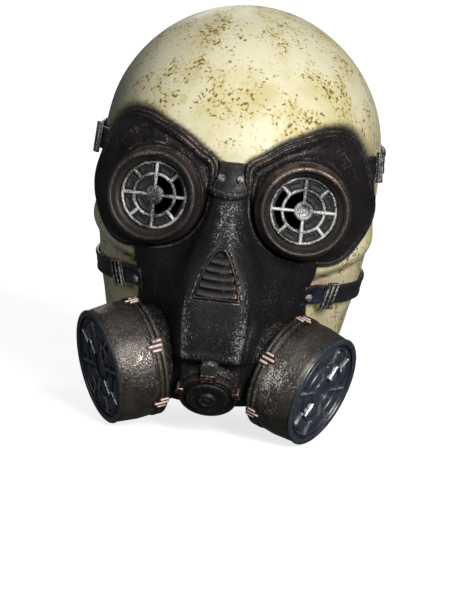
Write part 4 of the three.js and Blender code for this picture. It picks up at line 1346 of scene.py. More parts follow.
@dataclass(frozen=True)
class SpeckledBone:
    """Ivory cast rubber with rust spatter, pits, a dark sprayed edge, and painted shade down one side and in
    the cheek crease.
    """

    name: str = "speckled_bone"
    slot: str = "bone_latex"
    pale: Colour = tint(0.79, 0.745, 0.53)
    warm: Colour = tint(0.63, 0.57, 0.29)
    # Greenish grey of the painted shade.
    shade_hue: Colour = tint(0.33, 0.36, 0.30)
    stains: Spatter = Spatter(tint(0.62, 0.46, 0.13), 0.55, 210.0, 0.60)
    rust: Spatter = Spatter(tint(0.47, 0.30, 0.055), 0.9, 440.0, 0.65)
    pits: Spatter = Spatter(tint(0.15, 0.095, 0.018), 0.9, 440.0, 0.50)
    clusters: float = 58.0
    # Near black of the airbrushed spray, also painted shade in the cheek crease.
    spray: Colour = tint(0.012, 0.009, 0.010)
    blush: Colour = tint(0.32, 0.14, 0.10)
    specular: float = 0.4
    depth_of_light: float = 0.08
    light_reach: tuple[float, float, float] = (0.006, 0.004, 0.002)
    relief: float = 0.3
    depth: float = 0.0015

    def hue(self, groups: Groups, graph: Graph, place: Socket, cloud: Socket) -> tuple[Socket, Socket]:
        """Colour of the hood: bone, painted shade, spatter, blush and the dark spray, which is airbrushed
        paint round the mask and painted shade in the cheek crease.

        Args:
            groups: Shared shader groups.
            graph: Graph of the material.
            place: Place in the mask.
            cloud: Broad cloudy value.

        Returns:
            The colour, and the mask of the pits.
        """
        bone = graph.blend(graph.span(cloud, 0.38, 0.68), self.pale, self.warm)
        # Painted shade: greenish darkening down the left side and towards the neck.
        bone = graph.blend(graph.value("shade"), bone, self.shade_hue)
        for layer in (self.stains, self.rust, self.pits):
            spots = graph.group(
                groups.speckle, Place=place, Spots=layer.spots, Clusters=self.clusters, Amount=layer.amount
            )
            bone = graph.blend(graph.math("MULTIPLY", spots, layer.strength), bone, layer.hue)
        bone = graph.blend(graph.value("blush"), bone, self.blush)
        # Airbrushed dark paint round the mask, and painted shade in the cheek crease.
        spray = graph.math("MULTIPLY", graph.value("spray"), 1.15)
        mist = graph.span(graph.noise(place, 420.0, 4.0, 0.7), 0.2, 0.8, 0.0, 0.16)
        cover = graph.span(graph.math("SUBTRACT", spray, mist), 0.0, 0.95)
        return graph.blend(graph.math("POWER", cover, 0.7), bone, self.spray), spots

    def build(self, groups: Groups) -> bpy.types.Material:
        """Builds the material.

        Args:
            groups: Shared shader groups.

        Returns:
            The material.
        """
        material, graph, shader = new_material(self.name)
        place = graph.place()
        cloud = graph.noise(place, 26.0, 4.0)
        hue, pits = self.hue(groups, graph, place, cloud)
        graph.feed(shader.inputs["Base Color"], hue)
        graph.feed(shader.inputs["Roughness"], graph.span(cloud, 0.3, 0.7, 0.42, 0.56))
        shader.inputs["Specular IOR Level"].default_value = self.specular
        shader.inputs["Subsurface Weight"].default_value = self.depth_of_light
        shader.inputs["Subsurface Radius"].default_value = self.light_reach
        height = graph.group(groups.grain, Place=place, Fine=420.0, Coarse=90.0, Balance=0.35)
        sunk = graph.math("SUBTRACT", height, graph.math("MULTIPLY", pits, 0.4))
        graph.emboss(shader, sunk, self.relief, self.depth)
        return material

    def dress(self, groups: Groups) -> Dress:
        """Material with its slot."""
        return Dress(self.build(groups), self.slot)


@dataclass(frozen=True)
class Gauze:
    """Grey panel pressed with a fine square mesh."""

    name: str = "pressed_gauze"
    slot: str = "gauze_latex"
    thread: Colour = tint(0.010, 0.011, 0.012)
    hole: Colour = tint(0.003, 0.003, 0.003)
    rubbed: Colour = tint(0.045, 0.045, 0.045)
    waves: float = 4500.0
    relief: float = 0.5
    depth: float = 0.0004

    def build(self) -> bpy.types.Material:
        """Builds the material.

        Returns:
            The material.
        """
        material, graph, shader = new_material(self.name)
        place = graph.place()
        parts = graph.add("ShaderNodeSeparateXYZ")
        graph.feed(parts.inputs[0], place)
        waves = []
        for name in ("X", "Z"):
            wave = graph.math("SINE", graph.math("MULTIPLY", parts.outputs[name], self.waves))
            waves.append(graph.math("ABSOLUTE", wave))
        thread = graph.span(graph.math("MAXIMUM", *waves), 0.6, 0.95)
        uneven = graph.math("MULTIPLY", thread, graph.span(graph.noise(place, 180.0), 0.3, 0.7, 0.35, 1.0))
        ground = graph.blend(uneven, self.hole, self.thread)
        patchy = graph.span(graph.noise(place, 700.0), 0.4, 0.6)
        worn = graph.math("MULTIPLY", graph.value("crest"), patchy)
        graph.feed(shader.inputs["Base Color"], graph.blend(worn, ground, self.rubbed))
        graph.feed(shader.inputs["Roughness"], graph.span(graph.noise(place, 300.0), 0.2, 0.8, 0.4, 0.65))
        graph.emboss(shader, uneven, self.relief, self.depth)
        return material

    def dress(self) -> Dress:
        """Material with its slot."""
        return Dress(self.build(), self.slot)


class Palette:
    """Every finish of the mask."""

    def __init__(self) -> None:
        """Builds the shared groups and the materials."""
        groups = Groups()
        dark = tint(0.0072, 0.0070, 0.0086)
        blue = tint(0.007, 0.009, 0.014)
        silver = tint(0.42, 0.41, 0.40)
        bronze = tint(0.26, 0.19, 0.16)
        copper = tint(0.60, 0.38, 0.30)
        self.bone = SpeckledBone().dress(groups)
        self.gauze = Gauze().dress()
        self.rubber = PaintedRubber(
            "black_rubber", "black_latex", dark, tint(0.011, 0.009, 0.009), silver, silver, field=0.55,
            specular=0.32,
        ).dress(groups)
        self.goggle = PaintedRubber(
            "frame_rubber", "black_latex", tint(0.010, 0.007, 0.008), tint(0.006, 0.006, 0.009),
            tint(0.20, 0.15, 0.14), tint(0.34, 0.26, 0.22), edge=0.62, field=0.7, specular=0.4,
        ).dress(groups)
        self.bronze = PaintedRubber(
            "bronzed_rubber", "bronze_latex", tint(0.013, 0.010, 0.0095), tint(0.024, 0.018, 0.016),
            bronze, copper, field=1.0, specular=0.5, gloss=0.36, dull=0.56,
        ).dress(groups)
        self.drum = PaintedRubber(
            "drum_rubber", "bronze_latex", tint(0.135, 0.120, 0.106), tint(0.060, 0.052, 0.046),
            tint(0.74, 0.68, 0.62), tint(0.66, 0.54, 0.47), metal=0.75, gloss=0.28, dull=0.42,
            relief=0.7, pebble=0.55, field=0.8,
        ).dress(groups)
        # Dark inside of the hood and the face: painted shade, where the inside lies in shadow.
        self.lining = PaintedRubber(
            "painted_shade_lining", "bone_latex", tint(0.020, 0.012, 0.009), tint(0.030, 0.019, 0.014),
            silver, silver, edge=0.0, field=0.0, gloss=0.6, dull=0.8,
        ).dress(groups)
        self.collar = PaintedRubber(
            "collar_rubber", "bronze_latex", dark, tint(0.012, 0.009, 0.008), copper, copper, edge=1.1,
            field=0.35,
        ).dress(groups)
        self.stub = PaintedRubber(
            "stub_rubber", "black_latex", tint(0.030, 0.034, 0.030), tint(0.045, 0.048, 0.040),
            silver, silver, field=0.5,
        ).dress(groups)
        self.silver = PaintedRubber(
            "silvered_rubber", "silver_latex", tint(0.014, 0.014, 0.015), tint(0.026, 0.026, 0.027),
            tint(0.60, 0.60, 0.59), tint(0.80, 0.80, 0.79), edge=1.0, field=1.05, grain=1300.0, sheen=0.4,
        ).dress(groups)
        self.copper = PaintedRubber(
            "copper_rubber", "copper_latex", tint(0.030, 0.016, 0.014), tint(0.050, 0.026, 0.022),
            tint(0.84, 0.64, 0.57), tint(0.95, 0.84, 0.79), edge=1.2, field=1.2, grain=1500.0, sheen=0.25,
        ).dress(groups)
        self.strap = PaintedRubber(
            "strap_rubber", "blue_black_latex", blue, tint(0.020, 0.024, 0.036),
            tint(0.13, 0.16, 0.21), tint(0.40, 0.42, 0.46), edge=0.75, field=0.6, gloss=0.32, dull=0.5,
        ).dress(groups)
        self.web = PaintedRubber(
            "web_rubber", "blue_black_latex", tint(0.026, 0.032, 0.046), tint(0.040, 0.048, 0.064),
            tint(0.26, 0.28, 0.32), tint(0.50, 0.52, 0.56), edge=1.0, field=0.6, gloss=0.2, dull=0.32,
            specular=0.8, relief=0.12,
        ).dress(groups)
        self.valve = self.rubber._replace(slot="blue_black_latex")


# Sub-assemblies


class Patch(NamedTuple):
    """Soft oval patch of a surface with its strength at the middle."""

    strength: float
    across: float
    width: float
    level: float
    height: float

    def at(self, across: float, level: float) -> float:
        """Strength at a place."""
        far = ((across - self.across) / self.width) ** 2 + ((level - self.level) / self.height) ** 2
        return self.strength * math.exp(-far)


@dataclass
class SkullHood:
    """Moulded skull hood: dome, temples, cheekbones and open neck.

    The middles of the patches are degrees from straight ahead and heights, and
    for the crease and what follows it heights above the line of the crease.
    """

    columns: int = 232
    rows: int = 118
    window_margin: float = 2.5
    window_top: float = -146.0
    jaw_top: float = -187.0
    cheek_half: float = 42.0
    jaw_half: float = 53.0
    unevenness: float = 0.5
    uneven_scale: float = 0.03
    temple: Patch = Patch(-2.6, 74, 13, -84, 20)
    cheek: Patch = Patch(-3.2, 52, 13, -178, 13)
    jaw: Patch = Patch(1.4, 66, 24, -205, 9)
    nape: Patch = Patch(1.2, 180, 30, -150, 14)
    crease: Patch = Patch(-3.8, 42, 17, 0, 2.4)
    fold: Patch = Patch(2.4, 44, 17, 6, 5)
    # Painted shade in the cheek crease.
    crease_shade: Patch = Patch(0.85, 42, 13, -0.4, 1.7)
    crease_blush: Patch = Patch(0.75, 42, 13, -4.2, 3.4)
    crease_from: float = 38.0
    crease_height: float = -166.0
    crease_climb: float = 0.35
    spray_reach: float = 12.0
    spray_lead: float = 0.8

    def past_crease(self, side: float, z: float) -> float:
        """Height above the cheek crease at degrees from straight ahead."""
        return z - self.crease_height - self.crease_climb * (side - self.crease_from)

    def relief(self, turn: float, z: float) -> float:
        """Fine sculpting of the outside.

        Args:
            turn: Angle from straight ahead, from -pi to pi.
            z: Height.

        Returns:
            How far the surface moves out.
        """
        side = abs(math.degrees(turn))
        past = self.past_crease(side, z)
        broad = sum(patch.at(side, z) for patch in (self.temple, self.cheek, self.jaw, self.nape))
        folded = self.crease.at(side, past) + self.fold.at(side, past)
        return broad + folded + self.unevenness * noise.noise(HOOD.point(turn, z) * self.uneven_scale)

    def in_window(self, point: Vector) -> bool:
        """Whether a point lies behind the goggles or the breathing mask.

        Args:
            point: Middle of a face of the skin.

        Returns:
            True where the hood is cut open.
        """
        if point.y > 0:
            return False
        across, up = abs(point.x) - EYES.half_spacing, point.z + EYES.drop
        if math.hypot(across, up) < EYES.frame_bore - self.window_margin:
            return True
        half = self.cheek_half if point.z > self.jaw_top else self.jaw_half
        return abs(point.x) < half and point.z < self.window_top

    def spray(self, point: Vector) -> float:
        """Strength of the dark airbrushed spray round the mask's edges, and of the painted shade in the
        crease.

        Args:
            point: Point of the hood.

        Returns:
            The strength, 1 at most.
        """
        clear = EYES.clear_of_frame(point.x, point.z)
        beside_nose = mix(0.4, 1.0, fade(30, 75, abs(point.x)))
        below = mix(0.35, 1.0, fade(-125, -95, point.z))
        if point.z < -FACE.top_drop:
            edge = FACE.level(point.z).edge * FACE.half_width
            clear = min(clear, abs(point.x) - edge)
        cloud = fade(self.spray_reach * beside_nose * below, 0.0, clear + self.spray_lead)
        side = math.degrees(math.atan2(abs(point.x), -point.y))
        # Painted shade in the crease under the cheek fold.
        crease = self.crease_shade.at(side, self.past_crease(side, point.z))
        return max(cloud * fade(-14, -34, point.y), crease)

    def blush(self, point: Vector) -> float:
        """Reddish stain between the crease and the strap, and along the jaw.

        Args:
            point: Point of the hood.

        Returns:
            The strength, 1 at most.
        """
        side = math.degrees(math.atan2(abs(point.x), -point.y))
        below = self.crease_blush.at(side, self.past_crease(side, point.z))
        jaw = 0.5 * bump(-196, 10, point.z) * fade(-20, -60, point.y) * fade(52, 70, abs(point.x))
        return max(below, jaw)

    def shade(self, point: Vector) -> float:
        """Painted shade: greenish darkening down one side and under the cheekbones.

        Args:
            point: Point of the hood.

        Returns:
            The strength, 1 at most.
        """
        flank = 0.85 * fade(-45, -92, point.x) * fade(0, -70, point.z)
        edge = 0.3 * fade(-60, -95, point.x)
        neck = 0.35 * fade(-170, -225, point.z)
        return clamp((flank + edge) * mix(0.3, 1.0, fade(-150, -100, point.z)) + neck)

    def skin(self) -> BMesh:
        """Skin of the hood from a flat grid, its windows cut.

        Returns:
            The skin, open at the neck.
        """
        bm = bmesh.new()
        bmesh.ops.create_grid(bm, x_segments=self.columns, y_segments=self.rows, size=1.0)
        dome_arc = HOOD.dome_height * math.pi / 2
        for vert in bm.verts:
            turn = vert.co.x * math.pi
            arc = (1 - vert.co.y) / 2 * (dome_arc + HOOD.side_drop)
            if arc < dome_arc:
                z = HOOD.wall - HOOD.dome_height * (1 - math.cos(arc / HOOD.dome_height))
            else:
                z = HOOD.rim + HOOD.side_drop + dome_arc - arc
            point = HOOD.point(turn, z)
            flat = Vector((point.x, point.y, 0.0))
            if flat.length > 1e-6:
                point += flat.normalized() * self.relief(turn, z) * fade(0, 40, flat.length)
            vert.co = point
        bmesh.ops.remove_doubles(bm, verts=bm.verts, dist=0.02)
        gone = [face for face in bm.faces if self.in_window(face.calc_center_median())]
        bmesh.ops.delete(bm, geom=gone, context="FACES")
        return bm

    def build(self, palette: Palette) -> None:
        """Builds and dresses the hood.

        Args:
            palette: Finishes.
        """
        bm = self.skin()
        for name, rule in (("spray", self.spray), ("shade", self.shade), ("blush", self.blush)):
            mark(bm, name, rule)
        lining = palette.lining.material
        finish_piece(bm, "hood", palette.bone, "skull_hood", sharp=80, wall=HOOD.wall, lining=lining)


@dataclass
class BreathingMask:
    """Moulded mask over nose, mouth and chin, with its necks and valve boss."""

    columns: int = 132
    rows: int = 168
    skirt_columns: int = 3
    skirt_rows: int = 3
    skirt_reach: float = 1.6
    top_roll: float = 1.8
    foot_roll: float = 0.6
    unevenness: float = 0.35
    neck_radius: float = 32.0
    neck_taper: float = 0.92
    neck_length: float = 26.0
    neck_wall: float = 3.5
    neck_seat: float = 0.4
    boss_margin: float = 1.0
    boss_flare: float = 3.0
    seam: float = 0.8
    pocket: float = 6.0
    pocket_foot: float = -165.0
    # Rubbed silver paint, with painted highlights on the nose ridge and the right of the muzzle.
    rubbed: tuple[Patch, ...] = (
        Patch(1.1, 3, 9, -127, 11),
        Patch(0.8, 0, 12, -143, 8),
        Patch(0.24, 0, 26, -194, 24),
        Patch(0.75, 20, 10, -202, 15),
        Patch(0.2, -20, 6, -196, 18),
        Patch(0.4, 36, 14, -176, 20),
        Patch(0.4, -36, 14, -176, 20),
    )

    def edge_skirt(self, point: Vector, share: float, outward: float) -> Vector:
        """Rounded edge that turns down onto the hood.

        Args:
            point: Last point of the skin.
            share: Share of the way down.
            outward: Direction along X.

        Returns:
            The point of the edge.
        """
        angle = share * math.pi / 2
        x = point.x + outward * self.skirt_reach * math.sin(angle)
        grow = mix(-1.0, FACE.wall + FACE.gap, math.cos(angle))
        foot = HOOD.front_point(x, max(point.z, HOOD.rim), grow)
        return Vector((foot.x, foot.y, point.z))

    def sculpt(self, point: Vector) -> Vector:
        """Fine relief of the mask, and its pockets for frames and filters.

        Args:
            point: Point of the plain skin.

        Returns:
            The moved point.
        """
        out = self.unevenness * noise.noise(point * 0.09)
        point = point + Vector((0.0, -out, 0.0))
        inside = self.seam - EYES.clear_of_frame(point.x, point.z)
        if point.z > self.pocket_foot and inside > 0:
            point.y += self.pocket * fade(0.0, 1.2, inside)
        for side in Side:
            point = FILTERS.sunk_behind(point, side)
        return VENT.sunk_under(point)

    def face_paint_and_highlight(self, point: Vector) -> float:
        """Where the rubbed paint lies: nose ridge, muzzle and cheeks, with painted highlights on the nose
        ridge and the right of the muzzle.
        """
        return clamp(sum(patch.at(point.x, point.z) for patch in self.rubbed))

    def worn(self, point: Vector, crest: float) -> float:
        """Crest value, lower along the top edge, on the cheeks and beside the louvre.

        Args:
            point: Point of the skin.
            crest: Value without the change.

        Returns:
            The value.
        """
        top = mix(0.25, 1.0, fade(-98, -106, point.z))
        cheek = mix(1.0, 0.3, fade(42, 50, abs(point.x)))
        beside = bump(0, 19, point.x) * fade(-142, -146, point.z) * fade(-184, -180, point.z)
        return crest * top * cheek * (1 - beside * mix(0.85, 0.3, fade(0, 12, point.x)))

    def skin(self) -> BMesh:
        """Skin of the mask from a flat grid: its outline, level by level, and rolled edges.

        Returns:
            The skin.
        """
        bm = bmesh.new()
        bmesh.ops.create_grid(bm, x_segments=self.columns, y_segments=self.rows, size=1.0)
        body_rows = self.rows - 2 * self.skirt_rows
        body_columns = self.columns - 2 * self.skirt_columns
        levels = [-FACE.top_drop - FACE.height * level / body_rows for level in range(body_rows + 1)]
        lines = [along_line(FACE.outline(z), body_columns) for z in levels]
        for vert in bm.verts:
            column = round((vert.co.x + 1) / 2 * self.columns) - self.skirt_columns
            row = round((1 - vert.co.y) / 2 * self.rows) - self.skirt_rows
            level, inner = int(clamp(row, 0, body_rows)), int(clamp(column, 0, body_columns))
            line, z = lines[level], levels[level]
            point = line[inner].copy()
            past = abs(column - inner) / self.skirt_columns
            if past:
                # On the left the lines before the last one tuck in instead of turning out.
                point = self.edge_skirt(point, past, -1.0 if column == -self.skirt_columns else 1.0)
            rise, sink = -row / self.skirt_rows, (row - body_rows) / self.skirt_rows
            if rise > 0:
                back = HOOD.front_point(point.x, z + self.top_roll, -1.0)
                angle = rise * math.pi / 2
                up = z + self.top_roll * math.sin(angle)
                point = Vector((point.x, mix(point.y, back.y, 1 - math.cos(angle)), up))
            if sink > 0:
                chord = max(line[0].y, line[-1].y) + FACE.edge_sink
                down = z - self.foot_roll * math.sin(sink * math.pi)
                point = Vector((point.x, mix(point.y, chord, sink), down))
            vert.co = self.sculpt(point)
        return bm

    def neck(self, side: Side, palette: Palette) -> None:
        """Builds the short neck that carries a filter.

        Args:
            side: Side of the filter.
            palette: Finishes.
        """
        near, far = self.neck_radius, self.neck_radius * self.neck_taper
        seat, foot = -self.neck_seat, -self.neck_length
        inner = near - self.neck_wall
        corners = [(inner, seat), (near, seat), (far, foot), (far - self.neck_wall, foot), (inner, seat)]
        bm = lathe(soften(corners, 0.8))
        finish_piece(bm, f"filter_neck_{side.word}", palette.rubber, place=FILTERS.place(side), brush=0.2)

    def boss(self, palette: Palette) -> None:
        """Builds the boss that carries the valve.

        Args:
            palette: Finishes.
        """
        top = VALVE.collar + self.boss_margin
        seat = -VALVE.depth - VALVE.gap
        foot = seat - VALVE.boss_depth
        bm = lathe(soften([(0, seat), (top, seat), (top + self.boss_flare, foot), (0, foot)], 1.4))
        finish_piece(bm, "valve_boss", palette.rubber, place=VALVE.place(), brush=0.08)

    def build(self, palette: Palette) -> None:
        """Builds and dresses the mask, its necks and its boss.

        Args:
            palette: Finishes.
        """
        bm = self.skin()
        gone = []
        for face in bm.faces:
            centre = face.calc_center_median()
            across, up = abs(centre.x) - EYES.half_spacing, centre.z + EYES.drop
            if math.hypot(across, up) < EYES.frame_bore + 1:
                gone.append(face)
        bmesh.ops.delete(bm, geom=gone, context="FACES")
        finish_piece(
            bm, "face", palette.rubber, "face_piece", brush=self.face_paint_and_highlight, gain=5.0, sharp=80, wall=FACE.wall,
            lining=palette.lining.material, touch=self.worn,
        )
        for side in Side:
            self.neck(side, palette)
        self.boss(palette)


# Section of a frame's rim from the dish to its foot, as shares of the rim's width and height
RIM_BEADS = (
    (0.88, 1.08),
    (0.8, 1.26),
    (0.72, 1.3),
    (0.64, 1.24),
    (0.58, 1.08),
    (0.48, 1.02),
    (0.38, 1.04),
    (0.3, 1.2),
    (0.22, 1.27),
    (0.14, 1.22),
    (0.05, 1.0),
    (-0.02, 0.7),
    (-0.06, 0.35),
    (-0.06, -0.5),
)


@dataclass
class Goggle:
    """Dished frame, stepped bezel, grille and screen of one eye."""

    side: Side
    columns: int = 360
    rim_height: float = 3.2
    rim_width: float = 5.5
    dish_depth: float = 4.0
    dish_steps: int = 20
    seat_ledge: float = 1.5
    plate_rise: float = 0.9
    plate_pitch: float = 16.0
    plate_gap: float = 1.1
    plate_levels: tuple[float, ...] = (-0.9, 0.7, -0.6, 1.0)
    plate_lane: tuple[float, float] = (0.16, 0.74)
    plate_arcs: Profile = ((34.0, 162.0), (256.0, 336.0))
    line_width: float = 0.5
    line_inset: float = 0.25
    bezel_lift: float = 0.3
    bezel_steps: Profile = (
        (0, 0), (0, 0.36), (0.2, 0.6), (0.3, 1), (0.57, 1), (0.73, 0.64), (1, 0.5),
    )
    grille_radius: float = 21.5
    grille_thickness: float = 2.2
    grille_recess: float = 2.4
    grille_ring: float = 13.3
    grille_hub: float = 6.3
    grille_bar: float = 2.1
    grille_waver: float = 0.22
    pane_steps: Profile = (
        (0.5, -0.4), (0.5, 0.35), (0.8, 0.6), (1.3, 0.6), (1.6, 0.25),
    )
    pane_gap: float = 0.12
    inner_spokes: int = 4
    outer_spokes: int = 8

    def plate_depth(self, angle: float, share: float) -> tuple[int, float]:
        """Which plate of the dish holds a place, and how far inside its edge.

        Args:
            angle: Angle about the goggle, from the temple over the brow.
            share: Share of the way from the bezel to the rim.

        Returns:
            Number of the plate and distance in millimetres, below 0 outside.
        """
        degrees = math.degrees(angle) % 360
        if not any(low < degrees < high for low, high in self.plate_arcs):
            return 0, -1.0
        number, offset = divmod(degrees, self.plate_pitch)
        reach = EYES.ring_radius + EYES.past(angle) * share
        along = math.radians(min(offset, self.plate_pitch - offset) - self.plate_gap) * reach
        low, high = self.plate_lane
        across = min(share - low, high - share) * EYES.past(angle)
        return int(number), min(along, across)

    def plate(self, angle: float, share: float) -> float:
        """Height of the plate at a place in the dish.

        Args:
            angle: Angle about the goggle.
            share: Share of the way from the bezel to the rim.

        Returns:
            The height.
        """
        number, depth = self.plate_depth(angle, share)
        level = self.plate_levels[number % len(self.plate_levels)]
        return self.plate_rise * level * fade(0.0, 0.5, depth)

    def line(self, point: Vector, crest: float) -> float:
        """Crest value with the painted edges of the plates.

        Args:
            point: Place on the frame.
            crest: Value without the lines.

        Returns:
            The value.
        """
        local = EYES.place(self.side).inverted() @ point
        angle = math.atan2(local.z, -self.side.value * local.x)
        reach = round_off(local) - EYES.ring_radius
        share = reach / max(EYES.past(angle) - self.rim_width * 0.6, 1.0)
        depth = self.plate_depth(angle, share)[1]
        ragged = 0.55 + 0.9 * noise.noise(point * 0.16)
        crest *= mix(0.3, 1.0, fade(-132, -108, point.z))
        return max(crest, clamp(ragged) * bump(self.line_inset, self.line_width, depth))

    def section(self, angle: float) -> list[Vector]:
        """Section of the frame from the bezel's seat to its foot in the hood.

        Args:
            angle: Angle about the goggle.

        Returns:
            Points of the section.
        """
        sign, place, past = self.side.value, EYES.place(self.side), EYES.past(angle)
        cosine, sine = math.cos(angle), math.sin(angle)
        spread = clamp(past / EYES.frame_spread, EYES.least_spread, 1.0)
        reach = EYES.ring_radius + past
        x, z = sign * (EYES.half_spacing + reach * cosine), -EYES.drop + reach * sine
        foot = HOOD.front_point(x, z)
        normal = HOOD.normal(math.atan2(foot.x, -foot.y), z)
        inward = Vector((-sign * cosine, 0.0, -sine))
        inward = (inward - normal * inward.dot(normal)).normalized() * spread * self.rim_width
        seats = (EYES.frame_bore, EYES.ring_radius - self.seat_ledge, EYES.ring_radius)
        *points, seat = [place @ Vector((-sign * cosine * out, 0.0, sine * out)) for out in seats]
        rim = foot + inward + normal * self.rim_height
        for step in range(self.dish_steps + 1):
            share = step / self.dish_steps
            dip = self.dish_depth * math.sin(math.pi * share)
            points.append(seat.lerp(rim, share) + normal * (self.plate(angle, share) - dip) * spread)
        points += [foot + inward * along + normal * up * self.rim_height for along, up in RIM_BEADS]
        return points

    def frame_brush(self, point: Vector) -> float:
        """Paint on the frame, most on the rim towards the brow and the nose.

        Args:
            point: Point of the frame.

        Returns:
            The strength.
        """
        up = clamp((point.z + EYES.drop) / 40)
        inner = clamp(1.15 - abs(point.x) / 60)
        rim = fade(-9.0, -5.0, EYES.clear_of_frame(point.x, point.z))
        return 0.2 + 0.55 * rim * up * inner + 0.12 * rim

    def frame_piece(self, palette: Palette) -> None:
        """Builds the dished frame.

        Args:
            palette: Finishes.
        """
        rings = [self.section(FULL_TURN * i / self.columns) for i in range(self.columns)]
        name = f"goggle_frame_{self.side.word}"
        finish_piece(
            loft(rings, closed=False, ring=True), f"{name}_dressed", palette.goggle, name,
            brush=self.frame_brush, gain=5.0, touch=self.line,
        )

    def bezel_brush(self, local: Vector) -> float:
        """Paint on the bezel, most along its upper outside, as a painted highlight that is stronger on the
        right goggle.

        Args:
            local: Point in the goggle's place.

        Returns:
            The strength.
        """
        reach = round_off(local)
        outside = fade(EYES.ring_bore + 2.5, EYES.ring_bore + 4.5, reach)
        # Painted highlight: more paint towards the top of the bezel, less at the bottom.
        top_highlight = 0.85 if self.side is Side.RIGHT else 0.357
        top, low = clamp(local.z / reach), clamp(-local.z / reach)
        return clamp(0.03 + outside * (0.16 + top_highlight * top**1.5 - 0.1 * low))

    def bezel(self, palette: Palette) -> None:
        """Builds the stepped bezel.

        Args:
            palette: Finishes.
        """
        width = EYES.ring_radius - EYES.ring_bore
        inside = (EYES.ring_bore, self.bezel_lift)
        steps = [
            (EYES.ring_radius - inward * width, up * EYES.ring_height + self.bezel_lift)
            for inward, up in self.bezel_steps
        ]
        finish_piece(
            lathe(soften([inside, *steps, inside], 1.3, 4), 128), f"bezel_{self.side.word}", palette.bronze,
            f"eye_ring_{self.side.word}", EYES.place(self.side), self.bezel_brush, gain=4.5,
        )

    @property
    def grille_middle(self) -> float:
        """Middle of the grille's thickness ahead of its seat."""
        return self.grille_recess + self.grille_thickness / 2

    def hoop(self, radius: float, reach: float) -> BMesh:
        """Round hoop of the grille.

        Args:
            radius: Radius of its middle line.
            reach: Half its width.

        Returns:
            The hoop.
        """
        thick = self.grille_thickness / 2
        turns = [FULL_TURN * i / 10 for i in range(11)]
        profile = [(radius + reach * math.cos(a), self.grille_middle + thick * math.sin(a)) for a in turns]
        return lathe(profile, 72)

    def hub(self) -> BMesh:
        """Hub: a dome on the left goggle, a dished disc with a rim on the right one.

        Returns:
            The hub.
        """
        middle, foot, wide = self.grille_middle, self.grille_recess, self.grille_hub
        dome = ((0, 2.1), (0.45, 1.9), (0.8, 1.2))
        disc = ((0, 0.2), (0.5, 0.4), (0.68, 1.5), (0.86, 1.5))
        rows = dome if self.side is Side.LEFT else disc
        top = [(wide * across, middle + up) for across, up in rows]
        return lathe(soften([*top, (wide, middle), (wide * 0.9, foot), (0, foot)], 0.8), 40)

    def grille(self, palette: Palette) -> None:
        """Builds the grille: hub, two hoops and spokes.

        Args:
            palette: Finishes.
        """
        half = self.grille_bar / 2
        parts = [self.hoop(self.grille_radius - 0.9, 0.95), self.hoop(self.grille_ring, half), self.hub()]
        for count, near, far, wide, tip in (
            (self.inner_spokes, self.grille_hub - 1, self.grille_ring, 0.85, 1.5),
            (self.outer_spokes, self.grille_ring, self.grille_radius - 1, 1.2, 0.85),
        ):
            for i in range(count):
                turn = FULL_TURN * i / count
                way = Vector((math.cos(turn), 0.0, math.sin(turn)))
                bar = rod(way * near, way * far, half * wide, 8, 0.9, tip)
                parts.append(moved(bar, 0.0, self.grille_middle, 0.0))
        bm = placed(gather(parts), EYES.place(self.side))
        for vert in bm.verts:
            vert.co += noise.noise_vector(vert.co * 0.25) * self.grille_waver
        finish_piece(
            bm, f"grille_{self.side.word}", palette.silver, f"eye_grille_{self.side.word}", brush=0.72,
            gain=1.5, sharp=70, touch=lambda p, crest: min(crest, 0.4),
        )

    def panes(self, palette: Palette) -> None:
        """Builds the panels of all windows but the open ones beside the nose.

        Args:
            palette: Finishes.
        """
        nose = 0.0 if self.side is Side.RIGHT else math.pi
        half = self.grille_bar / 2
        parts = []
        for count, near, far in (
            (self.inner_spokes, self.grille_hub, self.grille_ring - half),
            (self.outer_spokes, self.grille_ring + half, self.grille_radius - 1.6),
        ):
            step = FULL_TURN / count
            for i in range(count):
                if math.cos((i + 0.5) * step - nose) < math.cos(step):
                    turns = (i * step + self.pane_gap, (i + 1) * step - self.pane_gap)
                    parts.append(panel((near, far), turns, self.pane_steps))
        bm = moved(gather(parts), 0.0, self.grille_recess, 0.0)
        finish_piece(bm, f"panes_{self.side.word}", palette.gauze, place=EYES.place(self.side), gain=2.0)

    def screen(self, palette: Palette) -> None:
        """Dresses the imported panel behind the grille.

        Args:
            palette: Finishes.
        """
        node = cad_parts[f"eye_screen_{self.side.word}"]
        node.data.materials.clear()
        node.data.materials.append(palette.gauze.material)

    def build(self, palette: Palette) -> None:
        """Builds and dresses the goggle.

        Args:
            palette: Finishes.
        """
        self.frame_piece(palette)
        self.bezel(palette)
        self.grille(palette)
        self.panes(palette)
        self.screen(palette)


